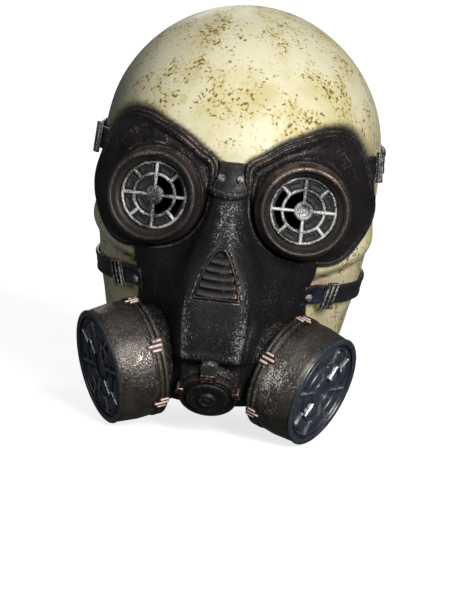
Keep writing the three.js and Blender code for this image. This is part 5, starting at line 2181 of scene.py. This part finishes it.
@dataclass
class Bridge:
    """Curved bar with two studs between the goggles."""

    drop: float = 112.0
    half_width: float = 13.5
    sag: float = 3.0
    height: float = 5.0
    thickness: float = 4.4
    sink: float = 0.8
    steps: int = 36
    sides: int = 20
    squareness: float = 0.7
    end_power: int = 12
    stud_radius: float = 2.6
    stud_height: float = 2.0
    stud_half_spacing: float = 5.8
    stud_drop: float = 104.5

    def rounded(self, value: float) -> float:
        """Sine or cosine pulled towards a rounded square."""
        return math.copysign(abs(value) ** self.squareness, value)

    def bar(self) -> BMesh:
        """Bar that follows the face behind it, with blunt ends.

        Returns:
            The bar.
        """
        sections = []
        for i in range(self.steps + 1):
            share = i / self.steps * 2 - 1
            x, z = share * self.half_width, -self.drop - self.sag * (1 - share * share)
            y = FACE.front_point(x, z).y + self.sink - self.thickness / 2
            ends = math.sqrt(max(1 - abs(share) ** self.end_power, 0.02))
            ring = []
            for k in range(self.sides):
                turn = FULL_TURN * k / self.sides
                out = self.rounded(math.cos(turn)) * self.thickness / 2 * ends
                up = self.rounded(math.sin(turn)) * self.height / 2 * ends
                ring.append(Vector((x, y - out, z + up)))
            sections.append(ring)
        return loft(sections, caps=True)

    def stud(self, side: Side, palette: Palette) -> None:
        """Builds one stud.

        Args:
            side: Side of the middle plane.
            palette: Finishes.
        """
        seat = FACE.front_point(side.value * self.stud_half_spacing, -self.stud_drop)
        wide, high = self.stud_radius, self.stud_height
        profile = soften([(0, -1), (wide, -1), (wide, high * 0.4), (wide * 0.6, high), (0, high)], 0.7)
        place = basis(Vector((-1, 0, 0)), Vector((0, -1, 0)), Vector((0, 0, 1)), seat)
        name = f"stud_{side.word}"
        finish_piece(lathe(profile, 32), name, palette.silver, f"bridge_{name}", place, 0.5)

    def build(self, palette: Palette) -> None:
        """Builds and dresses the bar and the studs.

        Args:
            palette: Finishes.
        """
        finish_piece(
            self.bar(), "bridge", palette.rubber, "bridge_bar", brush=lambda p: 0.35 * fade(-116, -112, p.z)
        )
        for side in Side:
            self.stud(side, palette)


@dataclass
class NoseVent:
    """Louvre on the nose: a raised rim and curved slats."""

    outline_steps: int = 14
    rim_levels: Profile = (
        (0.0, -1.2), (0.0, 1.3), (0.2, 1.9), (0.6, 2.1), (1.0, 1.9), (1.3, 1.2), (VENT.rim, -1.4),
    )
    slats: int = 5
    slat_steps: int = 16
    slat_sides: int = 12
    slat_arch: float = -1.2
    slat_height: float = 2.3
    slat_depth: float = 1.0
    slat_lean: float = 0.42

    def outline(self, inset: float) -> list[tuple[float, float]]:
        """Outline of the louvre, moved inwards.

        Args:
            inset: Distance inwards.

        Returns:
            Points across and up, as a closed ring.
        """
        half = []
        for i in range(self.outline_steps + 1):
            down = i / self.outline_steps
            width = VENT.half(down) - inset * VENT.side_lean
            half.append((width, -down * VENT.height + inset * (2 * down - 1)))
        corners = [*half, *((-x, z) for x, z in reversed(half))]
        ring = soften([*corners[1:], corners[0], corners[1]], 1.6, 2)
        return ring[:-1]

    def rim(self) -> BMesh:
        """Raised rim.

        Returns:
            The rim.
        """
        rings = [[Vector((x, out, z)) for x, z in self.outline(inset)] for inset, out in self.rim_levels]
        return loft(rings, caps=True)

    def slat(self, number: int) -> BMesh:
        """Curved slat that leans forward at its foot.

        Args:
            number: Number of the slat, counted from the lowest.

        Returns:
            The slat.
        """
        pitch = (VENT.height - VENT.rim * 2) / (self.slats + 0.5)
        z = -VENT.height + VENT.rim + pitch * (number + 0.5)
        half = VENT.half(-z / VENT.height) - VENT.rim + 0.2
        sections = []
        for k in range(self.slat_steps + 1):
            share = k / self.slat_steps * 2 - 1
            arch = self.slat_arch * (1 - share * share) * half / VENT.half_width
            ring = []
            for j in range(self.slat_sides):
                turn = FULL_TURN * j / self.slat_sides
                up = self.slat_height * math.sin(turn)
                out = self.slat_depth * math.cos(turn) - self.slat_lean * up
                ring.append(Vector((share * half, out, z + arch + up)))
            sections.append(ring)
        return loft(sections, caps=True)

    def build(self, palette: Palette) -> None:
        """Builds and dresses the louvre.

        Args:
            palette: Finishes.
        """
        parts = [self.rim(), *(self.slat(number) for number in range(self.slats))]
        foot = (VENT.place @ Vector((0.0, 0.0, -VENT.height))).z
        # More paint, and edge lines kept, on the viewer's left side of the louvre: partly a painted
        # highlight.
        finish_piece(
            placed(gather(parts), VENT.place), "louvre", palette.collar, "nose_vent",
            brush=lambda p: 0.08 + 0.1 * fade(-8, 12, p.x), gain=2.4,
            touch=lambda p, crest: crest * max(0.15, fade(-1, 3, p.x), fade(foot + 2.5, foot + 1.5, p.z)),
        )


@dataclass
class DrumFilter:
    """Drum with a double flange, a web of ribs on its face and bar clips."""

    side: Side
    wall: float = 3.5
    ring: float = 2.2
    groove: float = 1.2
    bevel: float = 2.4
    lip: float = 1.6
    lip_fall: float = 0.6
    recess: float = 4.5
    bore: float = 28.5
    clips: int = 6
    clip_start: float = 20.0
    clip_width: float = 1.55
    clip_slit: float = 1.5
    clip_rise: float = 1.5
    clip_foot: float = 0.5
    clip_margin: float = 0.75
    clip_sink: float = 0.2
    clip_bars: Profile = ((0.4, 6.2), (0.6, 9.8), (1.9, 7.6))
    web_lift: float = 2.6
    web_gap: float = 0.3
    rib: float = 1.7
    rib_height: float = 2.1
    roll_inset: float = 2.9
    roll_width: float = 4.2
    roll_height: float = 1.2
    ring_shares: tuple[float, ...] = (0.28, 0.6, 0.92)
    spokes: tuple[int, ...] = (6, 8)
    pad_steps: Profile = (
        (1.3, -0.4), (1.5, 0.5), (2.1, 1.1), (3.0, 1.45), (4.2, 1.6),
    )

    @cached_property
    def place(self) -> Matrix:
        """Place of the filter in the mask."""
        return FILTERS.place(self.side)

    def profile(self) -> list[tuple[float, float]]:
        """Section of the drum from its bore over the two flanges to the lip.

        Returns:
            Radii and distances from the seat.
        """
        r, long = FILTERS.radius, FILTERS.length
        flange = r + FILTERS.flange_rise
        pitch = self.ring + self.groove
        front = pitch + self.ring
        mouth = r - self.bevel - self.lip
        return [
            (self.bore, self.wall),
            (self.bore, 0),
            (flange, 0),
            (flange, self.ring),
            (r - self.groove, self.ring + 0.2),
            (r - self.groove, pitch - 0.2),
            (flange, pitch),
            (flange, front),
            (r - self.groove * 0.8, front + 0.3),
            (r - self.groove * 0.6, front + self.groove),
            (r - 0.1, front + self.groove + 2),
            (r + 0.15, long / 2),
            (r - self.bevel / 2 + 0.1, long - self.bevel - 1),
            (r - self.bevel * 0.9, long - 0.4),
            (r - self.bevel - 0.5, long),
            (mouth + 0.4, long),
            (mouth - 0.2, long - 0.9),
            (mouth - self.lip_fall, long - self.recess - 0.4),
        ]

    def drum_brush(self, local: Vector) -> float:
        """Paint on the drum and a painted highlight: a belt round its wall, most towards the front.

        Args:
            local: Point in the filter's place.

        Returns:
            The strength.
        """
        # Painted highlight: the belt lies at mid height and faces the front, where the lamps reflect.
        belt = fade(3, 9, local.y) * fade(30, 20, local.y)
        ahead = fade(15, -30, (self.place @ local).y + FILTERS.ahead + 20)
        level = bump(0.05, 0.5, local.z / FILTERS.radius)
        return 0.12 + 0.95 * belt * ahead * level

    def drum(self, palette: Palette) -> None:
        """Builds the drum.

        Args:
            palette: Finishes.
        """
        finish_piece(
            lathe(soften(self.profile(), 0.6, 3), 128), f"drum_{self.side.word}", palette.drum,
            f"filter_housing_{self.side.word}", self.place, self.drum_brush, gain=3.2,
        )

    def bead(self, radius: float, width: float, high: float) -> BMesh:
        """Half round ring on the disc.

        Args:
            radius: Radius of its middle line.
            width: Its width.
            high: Its height.

        Returns:
            The ring.
        """
        turns = [math.pi * i / 8 for i in range(9)]
        return lathe([(radius + width / 2 * math.cos(a), high * math.sin(a) - 0.2) for a in turns], 96)

    def windows(self, near: float, far: float, count: int) -> list[BMesh]:
        """Spokes and domed pads between two rings of the web.

        Args:
            near: Radius of the inner ring.
            far: Radius of the outer ring.
            count: Number of spokes.

        Returns:
            The spokes and pads.
        """
        parts = []
        step = FULL_TURN / count
        margin = self.rib * 1.3 / near
        for i in range(count):
            way = Vector((math.cos(i * step), 0.0, math.sin(i * step)))
            parts.append(rod(way * near, way * far, self.rib / 2, 8, 2.2))
            turns = (i * step + margin, (i + 1) * step - margin * near / far)
            parts.append(panel((near, far), turns, self.pad_steps, 3, 2.6))
        return parts

    def web(self, palette: Palette) -> None:
        """Builds the disc that closes the drum, its rings, spokes and pads, and the rolled rim.

        Args:
            palette: Finishes.
        """
        radius = FILTERS.radius - self.bevel - self.lip - self.lip_fall - self.web_gap
        floor = FILTERS.length - self.recess + self.web_lift
        edge = [(radius, -2.5), (radius, 0.6), (radius - 1.0, 1.1), (radius - 2.0, 0.1)]
        rings = [radius * share for share in self.ring_shares]
        parts = [lathe(soften([(0, -2.5), *edge, (0, 0.0)], 0.5), 96)]
        parts += [self.bead(ring, self.rib, self.rib_height) for ring in rings]
        for near, far, count in zip(rings, rings[1:], self.spokes):
            parts += self.windows(near, far, count)
        roll = self.bead(FILTERS.radius - self.roll_inset, self.roll_width, self.roll_height)
        parts.append(moved(roll, 0.0, self.recess - self.web_lift, 0.0))
        # Pale paint on the tops of the ribs and rings, partly painted glints.
        finish_piece(
            moved(gather(parts), 0.0, floor, 0.0), f"filter_web_{self.side.word}", palette.web,
            f"filter_face_{self.side.word}", self.place,
            lambda p: 0.45 * fade(floor + 1.7, floor + 1.9, p.y) + 0.05, gain=1.6, sharp=60,
        )

    @property
    def clip_seat(self) -> float:
        """Distance of the clips' seat from the axis of the drum."""
        return FILTERS.radius + FILTERS.flange_rise

    def on_bars(self, local: Vector) -> float:
        """Value that is 1 on the bars of a clip and 0 on its dark foot, which is a painted shadow round the
        bars.
        """
        proud = self.clip_seat + self.clip_foot
        return fade(proud, proud + 0.3, round_off(local))

    def clip(self, number: int, palette: Palette) -> None:
        """Builds one clip: three staggered bars on a dark foot that stands for the shadow round them, a
        painted shadow.

        Args:
            number: Number of the clip, from 0.
            palette: Finishes.
        """
        climb = math.radians(self.clip_start + 360 / self.clips * number)
        angle = climb if self.side.value > 0 else math.pi - climb
        pitch = self.clip_width + self.clip_slit
        # The wider dark foot under the bars is a painted shadow round them.
        layers = ((self.clip_rise, 0.0, 0.45), (self.clip_foot, self.clip_margin, 0.1))
        bars = []
        for row, (near, far) in zip((-1, 0, 1), self.clip_bars):
            for rise, margin, edge in layers:
                bar = block((rise, far - near + 2 * margin, self.clip_width + 2 * margin), edge)
                out = self.clip_seat + rise / 2 - self.clip_sink
                bars.append(moved(bar, out, (near + far) / 2, row * pitch))
        bm = placed(gather(bars), Matrix.Rotation(-angle, 4, "Y"))
        label = f"{self.side.word}_{number + 1}"
        finish_piece(
            bm, f"clip_{label}", palette.copper, f"filter_clasp_{label}", self.place,
            lambda p: 0.85 * self.on_bars(p), gain=1.4, touch=lambda p, crest: crest * self.on_bars(p),
        )

    def build(self, palette: Palette) -> None:
        """Builds and dresses the filter.

        Args:
            palette: Finishes.
        """
        self.drum(palette)
        self.web(palette)
        for number in range(self.clips):
            self.clip(number, palette)


@dataclass
class OutletValve:
    """Round valve under the muzzle: dished cap, ringed button and collar."""

    cap_steps: Profile = (
        (0.91, 0), (1, 0.5), (0.98, 0.72), (0.89, 0.74), (0.86, 0.45), (0.83, 0.45),
        (0.80, 0.86), (0.70, 0.98), (0.24, 0.87), (0.07, 0.87),
    )
    button_steps: Profile = ((1, 1.14), (0.86, 1.17), (0.76, 1.06), (0, 1.10))
    lug_angles: tuple[float, ...] = (15.0, 90.0, 165.0)
    lug_length: float = 4.5
    lug_width: float = 5.0
    lug_rise: float = 1.0
    bracket_width: float = 10.0
    bracket_sink: float = 3.4
    bracket_lift: float = 0.8
    stub_radius: float = 5.6
    stub_length: float = 9.0
    stub_sink: float = 4.5
    stub_lift: float = 6.5

    def cap_brush(self, local: Vector) -> float:
        """Paint on the cap, most on its button."""
        return 0.1 + 0.4 * fade(VALVE.button, VALVE.button - 1.0, round_off(local))

    def cap(self, palette: Palette) -> None:
        """Builds the dished cap with its button.

        Args:
            palette: Finishes.
        """
        deep, button = VALVE.depth, VALVE.button
        corners = [(0.0, -deep)]
        corners += [(mix(button, VALVE.radius, past), up * deep - deep) for past, up in self.cap_steps]
        corners += [(button * across, up * deep - deep) for across, up in self.button_steps]
        bm = lathe(soften(corners, 0.5, 3), 96)
        finish_piece(bm, "valve_disc", palette.valve, "valve_cap", VALVE.place(), self.cap_brush, gain=3.5)

    def bracket(self) -> BMesh:
        """Bracket over the top of the collar, cut by a slot.

        Returns:
            The bracket.
        """
        post = self.bracket_width / 2 - 1
        bars = (
            ((-post, 0), (2.0, 5.2, 7.5)),
            ((post, 0), (2.0, 5.2, 7.5)),
            ((0, 3.0), (self.bracket_width, 5.2, 1.8)),
            ((0, -2.6), (self.bracket_width, 4.6, 1.6)),
        )
        lift = VALVE.collar + self.bracket_lift
        return gather([moved(block(size, 0.5), x, -self.bracket_sink, lift + z) for (x, z), size in bars])

    def collar(self, palette: Palette) -> None:
        """Builds the collar with its lugs and its bracket.

        Args:
            palette: Finishes.
        """
        back, deep = -VALVE.depth, VALVE.collar_depth
        front, inner = back + deep, VALVE.collar - VALVE.collar_wall
        ring = [(inner, back), (VALVE.collar, back), (VALVE.collar, front), (inner, front), (inner, back)]
        parts = [lathe(soften(ring, 0.7, 3), 96)]
        for angle in self.lug_angles:
            lug = block((self.lug_length, deep + self.lug_rise, self.lug_width), 0.7)
            lug = moved(lug, inner + self.lug_length / 2, back + (deep + self.lug_rise) / 2, 0.0)
            parts.append(placed(lug, Matrix.Rotation(-math.radians(angle), 4, "Y")))
        bm = gather([*parts, self.bracket()])
        finish_piece(bm, "valve_ring", palette.collar, "valve_collar", VALVE.place(), 0.02, gain=2.6)

    def stub(self, palette: Palette) -> None:
        """Builds the stub that the bracket leans on.

        Args:
            palette: Finishes.
        """
        wide, foot = self.stub_radius, -self.stub_length
        bm = lathe(soften([(0, 0), (wide, 0), (wide, foot), (0, foot)], 1.2), 48)
        bm = moved(bm, 0.0, -self.stub_sink, VALVE.collar + self.stub_lift)
        finish_piece(bm, "valve_stub", palette.stub, place=VALVE.place(), brush=0.12)

    def build(self, palette: Palette) -> None:
        """Builds and dresses the valve.

        Args:
            palette: Finishes.
        """
        self.cap(palette)
        self.collar(palette)
        self.stub(palette)


@dataclass
class Harness:
    """One strap round the back of the hood with its two tabs and buckles."""

    name: str
    width: float
    drop: float
    back_drop: float
    buckle_turn: float
    tab_turn: float
    tab_lift: float
    rivet: bool = False
    steps: int = 150
    tab_steps: int = 16
    thickness: float = 2.4
    edge: float = 0.7
    foot_edge: float = 0.5
    hem: float = 1.9
    hem_slope: float = 0.5
    hem_height: float = 0.45
    crown_height: float = 0.35
    lift: float = 0.8
    butt_gap: float = 3.0
    buckle_length: float = 10.0
    buckle_margin: float = 3.0
    buckle_bar: float = 1.7
    buckle_thickness: float = 2.6
    rivet_radius: float = 2.6
    rivet_inset: float = 3.5
    seat_gap: float = 0.3

    @property
    def butt(self) -> float:
        """Half the gap between strap and tab, as a turn."""
        return self.butt_gap / 2 / HOOD.radius(math.radians(self.buckle_turn), -self.drop)

    def outline(self) -> list[tuple[float, float]]:
        """Section of the band, with a raised hem along each side.

        Returns:
            Points above its middle and out from the hood.
        """
        half, thick = self.width / 2, self.thickness
        inside = half - self.hem - self.hem_slope
        foot, low = self.foot_edge, thick - self.hem_height
        return [
            (-half, foot), (-half + foot, 0.0), (half - foot, 0.0), (half, foot),
            (half, thick - self.edge), (half - self.edge, thick), (half - self.hem, thick),
            (inside, low), (0.0, thick - self.crown_height), (-inside, low),
            (-half + self.hem, thick), (-half + self.edge, thick), (-half, thick - self.edge),
        ]

    def band(
        self,
        turns: tuple[float, float],
        steps: int,
        height: Callable[[float], float],
        lift: Callable[[float], float],
    ) -> BMesh:
        """Band on the hood.

        Args:
            turns: First and last turn.
            steps: Steps along the band.
            height: Height of its middle at a share of its length.
            lift: Its lift off the hood at a share of its length.

        Returns:
            The band.
        """
        sections = []
        for i in range(steps + 1):
            share = i / steps
            turn = mix(*turns, share)
            ring = []
            for above, out in self.outline():
                z = height(share) + above
                ring.append(HOOD.point(turn, z) + HOOD.normal(turn, z) * (lift(share) + out))
            sections.append(ring)
        return loft(sections, caps=True)

    def place(self, side: Side, turn: float, lift: float) -> Matrix:
        """Place on the strap, with X along it and Y out from the hood.

        Args:
            side: Side of the mask.
            turn: Turn from straight ahead.
            lift: Distance off the hood.

        Returns:
            The matrix from the place to the mask.
        """
        z, sign = -self.drop, side.value
        out = HOOD.normal(sign * turn, z)
        along = Vector((math.cos(turn), sign * math.sin(turn), 0.0))
        along = (along - out * along.dot(out)).normalized()
        return basis(along, out, along.cross(out), HOOD.point(sign * turn, z) + out * lift)

    def buckle(self, side: Side, palette: Palette) -> None:
        """Builds a ladder buckle over the butted ends.

        Args:
            side: Side of the mask.
            palette: Finishes.
        """
        tall = self.width + 2 * self.buckle_margin
        bar, long, thick = self.buckle_bar, self.buckle_length, self.buckle_thickness
        reach, rise = (long - bar) / 2, (tall - bar) / 2
        bars = [((x, 0.0), (bar, thick, tall)) for x in (-reach, 0.0, reach)]
        bars += [((0.0, z), (long, thick, bar)) for z in (-rise, rise)]
        bm = gather([moved(block(size, 0.5), x, thick / 2, z) for (x, z), size in bars])
        over = self.lift + self.thickness + self.seat_gap
        place = self.place(side, math.radians(self.buckle_turn), over)
        node = f"{self.name}_buckle_{side.word}"
        finish_piece(bm, f"{self.name}_ladder_{side.word}", palette.silver, node, place, 0.08, gain=3.5)

    def tab(self, side: Side, palette: Palette) -> None:
        """Builds the short end fastened to the mask.

        Args:
            side: Side of the mask.
            palette: Finishes.
        """
        start, end = math.radians(self.tab_turn), math.radians(self.buckle_turn) - self.butt
        bm = self.band(
            (side.value * start, side.value * end),
            self.tab_steps,
            lambda share: -self.drop,
            lambda share: mix(self.tab_lift, self.lift, min(share * 2, 1)),
        )
        node = f"{self.name}_tab_{side.word}"
        finish_piece(bm, f"{self.name}_end_{side.word}", palette.strap, node, brush=0.3, gain=1.6)

    def head(self, side: Side, palette: Palette) -> None:
        """Builds the rivet through the tab.

        Args:
            side: Side of the mask.
            palette: Finishes.
        """
        turn = math.radians(self.tab_turn) + self.rivet_inset / HOOD.half_width
        wide = self.rivet_radius
        bm = lathe(soften([(0, 0.0), (wide, 0.0), (wide, 0.6), (wide - 1, 1.6), (0, 1.7)], 0.6), 32)
        place = self.place(side, turn, self.tab_lift + self.thickness + self.seat_gap)
        node = f"{self.name}_rivet_{side.word}"
        finish_piece(bm, f"{self.name}_stud_{side.word}", palette.copper, node, place, 0.3)

    def build(self, palette: Palette) -> None:
        """Builds and dresses the strap, tabs, buckles and rivets.

        Args:
            palette: Finishes.
        """
        start = math.radians(self.buckle_turn) + self.butt
        bm = self.band(
            (start, FULL_TURN - start),
            self.steps,
            lambda share: -mix(self.drop, self.back_drop, math.sin(math.pi * share) ** 2),
            lambda share: self.lift,
        )
        finish_piece(bm, f"{self.name}_band", palette.strap, f"{self.name}_strap", brush=0.3, gain=1.6)
        for side in Side:
            self.tab(side, palette)
            self.buckle(side, palette)
            if self.rivet:
                self.head(side, palette)


class Lamp(NamedTuple):
    """Soft square lamp: where it stands, the length of its side, its watts and its colour."""

    name: str
    place: tuple[float, float, float]
    size: float
    power: float
    hue: Colour


@dataclass
class Studio:
    """Pale floor and backdrop, soft lights and the camera."""

    azimuth: float = 2.55
    elevation: float = 5.0
    roll: float = 6.1
    distance: float = 2.0
    pivot: Vector = field(default_factory=lambda: Vector((0.0, 0.0, -0.1312)))
    pivot_right: float = 1.0
    pivot_up: float = 93.5
    pixels_per_metre: float = 1504.0
    picture_height: float = 600.0
    sensor: float = 36.0
    nearest: float = 0.05
    farthest: float = 50.0
    floor_drop: float = 0.003
    floor_radius: float = 3.2
    floor_sides: int = 64
    bend: float = 1.0
    bend_steps: int = 12
    wall_height: float = 3.4
    paper_glow: float = 0.76
    paper_roughness: float = 0.9
    sky: float = 0.06
    lamps: tuple[Lamp, ...] = (
        Lamp("key", (0.8, -1.75, 0.55), 0.8, 47.0, tint(1.0, 0.99, 0.96)),
        Lamp("fill", (-1.6, -1.0, 0.1), 0.9, 4.0, tint(0.90, 0.95, 1.0)),
        Lamp("back", (-0.4, 2.6, 1.2), 0.9, 14.0, tint(1.0, 0.99, 0.97)),
        Lamp("top", (0.0, -0.3, 1.5), 0.8, 2.0, tint(1.0, 1.0, 1.0)),
    )

    def paper(self) -> bpy.types.Material:
        """Glowing white paper of the backdrop.

        Returns:
            The material.
        """
        material, graph, shader = new_material("paper")
        shade = graph.span(graph.noise(graph.place(), 3.0), 0.3, 0.7)
        hue = graph.blend(shade, tint(0.76, 0.76, 0.75), tint(0.80, 0.80, 0.79))
        graph.feed(shader.inputs["Base Color"], hue)
        shader.inputs["Roughness"].default_value = self.paper_roughness
        shader.inputs["Emission Color"].default_value = tint(1.0, 1.0, 1.0)
        shader.inputs["Emission Strength"].default_value = self.paper_glow
        return material

    def floor(self, lowest: float) -> None:
        """Builds the round floor and the wall that curves up from it.

        Args:
            lowest: Height of the lowest point of the mask.
        """
        profile = [(0.0, 0.0), (self.floor_radius - self.bend, 0.0)]
        for i in range(1, self.bend_steps + 1):
            turn = math.pi / 2 * i / self.bend_steps
            out = self.floor_radius - self.bend * (1 - math.sin(turn))
            profile.append((out, self.bend * (1 - math.cos(turn))))
        profile.append((self.floor_radius, self.wall_height))
        bm = placed(lathe(profile, self.floor_sides), Matrix.Rotation(math.pi / 2, 4, "X"))
        moved(bm, 0.0, 0.0, lowest - self.floor_drop)
        mesh = bpy.data.meshes.new("backdrop")
        bm.to_mesh(mesh)
        bm.free()
        mesh.shade_smooth()
        mesh.materials.append(self.paper())
        backdrop = bpy.data.objects.new("backdrop", mesh)
        bpy.context.scene.collection.objects.link(backdrop)
        backdrop.visible_glossy = False
        backdrop.visible_diffuse = False
        backdrop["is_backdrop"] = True

    def light(self, lamp: Lamp) -> None:
        """Adds a lamp, aimed at the mask.

        Args:
            lamp: The lamp.
        """
        light = bpy.data.lights.new(lamp.name, "AREA")
        light.shape = "SQUARE"
        light.size = lamp.size
        light.energy = lamp.power
        light.color = lamp.hue[:3]
        stand = bpy.data.objects.new(lamp.name, light)
        stand.location = Vector(lamp.place)
        stand.rotation_euler = (stand.location - self.pivot).to_track_quat("Z", "Y").to_euler()
        bpy.context.scene.collection.objects.link(stand)

    def pale_sky(self) -> None:
        """Adds a faint even light from everywhere."""
        world = bpy.data.worlds.new("sky")
        world.use_nodes = True
        sky = world.node_tree.nodes["Background"]
        sky.inputs["Color"].default_value = tint(0.95, 0.97, 1.0)
        sky.inputs["Strength"].default_value = self.sky
        bpy.context.scene.world = world
        bpy.context.scene.view_settings.view_transform = "Standard"

    def camera(self) -> None:
        """Adds the camera at the picture's angle."""
        turn, lift = math.radians(self.azimuth), math.radians(self.elevation)
        right = Vector((math.cos(turn), math.sin(turn), 0.0))
        back = Vector((math.sin(turn) * math.cos(lift), -math.cos(turn) * math.cos(lift), math.sin(lift)))
        place = self.pivot + back * self.distance
        level = Matrix((right, back.cross(right), back)).transposed()
        rolled = level @ Matrix.Rotation(math.radians(self.roll), 3, "Z")
        right, up = rolled.col[0], rolled.col[1]
        aim = self.pivot - (right * self.pivot_right + up * self.pivot_up) / self.pixels_per_metre
        look = (place - aim).normalized()
        right = (right - look * right.dot(look)).normalized()
        turned = Matrix((right, look.cross(right), look)).transposed()
        data = bpy.data.cameras.new("camera")
        data.sensor_width = self.sensor
        data.lens = self.sensor * self.distance * self.pixels_per_metre / self.picture_height
        data.clip_start, data.clip_end = self.nearest, self.farthest
        camera = bpy.data.objects.new("camera", data)
        camera.matrix_world = Matrix.Translation(place) @ turned.to_4x4()
        bpy.context.scene.collection.objects.link(camera)
        bpy.context.scene.camera = camera

    def build(self, lowest: float) -> None:
        """Builds the studio round a mask.

        Args:
            lowest: Height of the lowest point of the mask.
        """
        self.floor(lowest)
        for lamp in self.lamps:
            self.light(lamp)
        self.pale_sky()
        self.camera()


def main() -> None:
    """Builds the mask and the studio."""
    logging.basicConfig(level=logging.INFO, format="%(name)s: %(message)s")
    noise.seed_set(NOISE_SEED)
    solid_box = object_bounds()
    palette = Palette()
    on_mask = FACE.wall + 2 * FACE.gap + 0.8
    assemblies = [
        SkullHood(),
        BreathingMask(),
        *(Goggle(side) for side in Side),
        Bridge(),
        NoseVent(),
        *(DrumFilter(side) for side in Side),
        OutletValve(),
        Harness("brow", 14.0, 92.0, 84.0, 63.0, 54.0, 0.8),
        Harness("cheek", 12.5, 175.0, 166.0, 47.0, 33.0, on_mask, rivet=True),
    ]
    for assembly in assemblies:
        assembly.build(palette)
        log.info("built %s", type(assembly).__name__)
    Studio().build(solid_box[0].z)


if __name__ == "__main__":
    main()
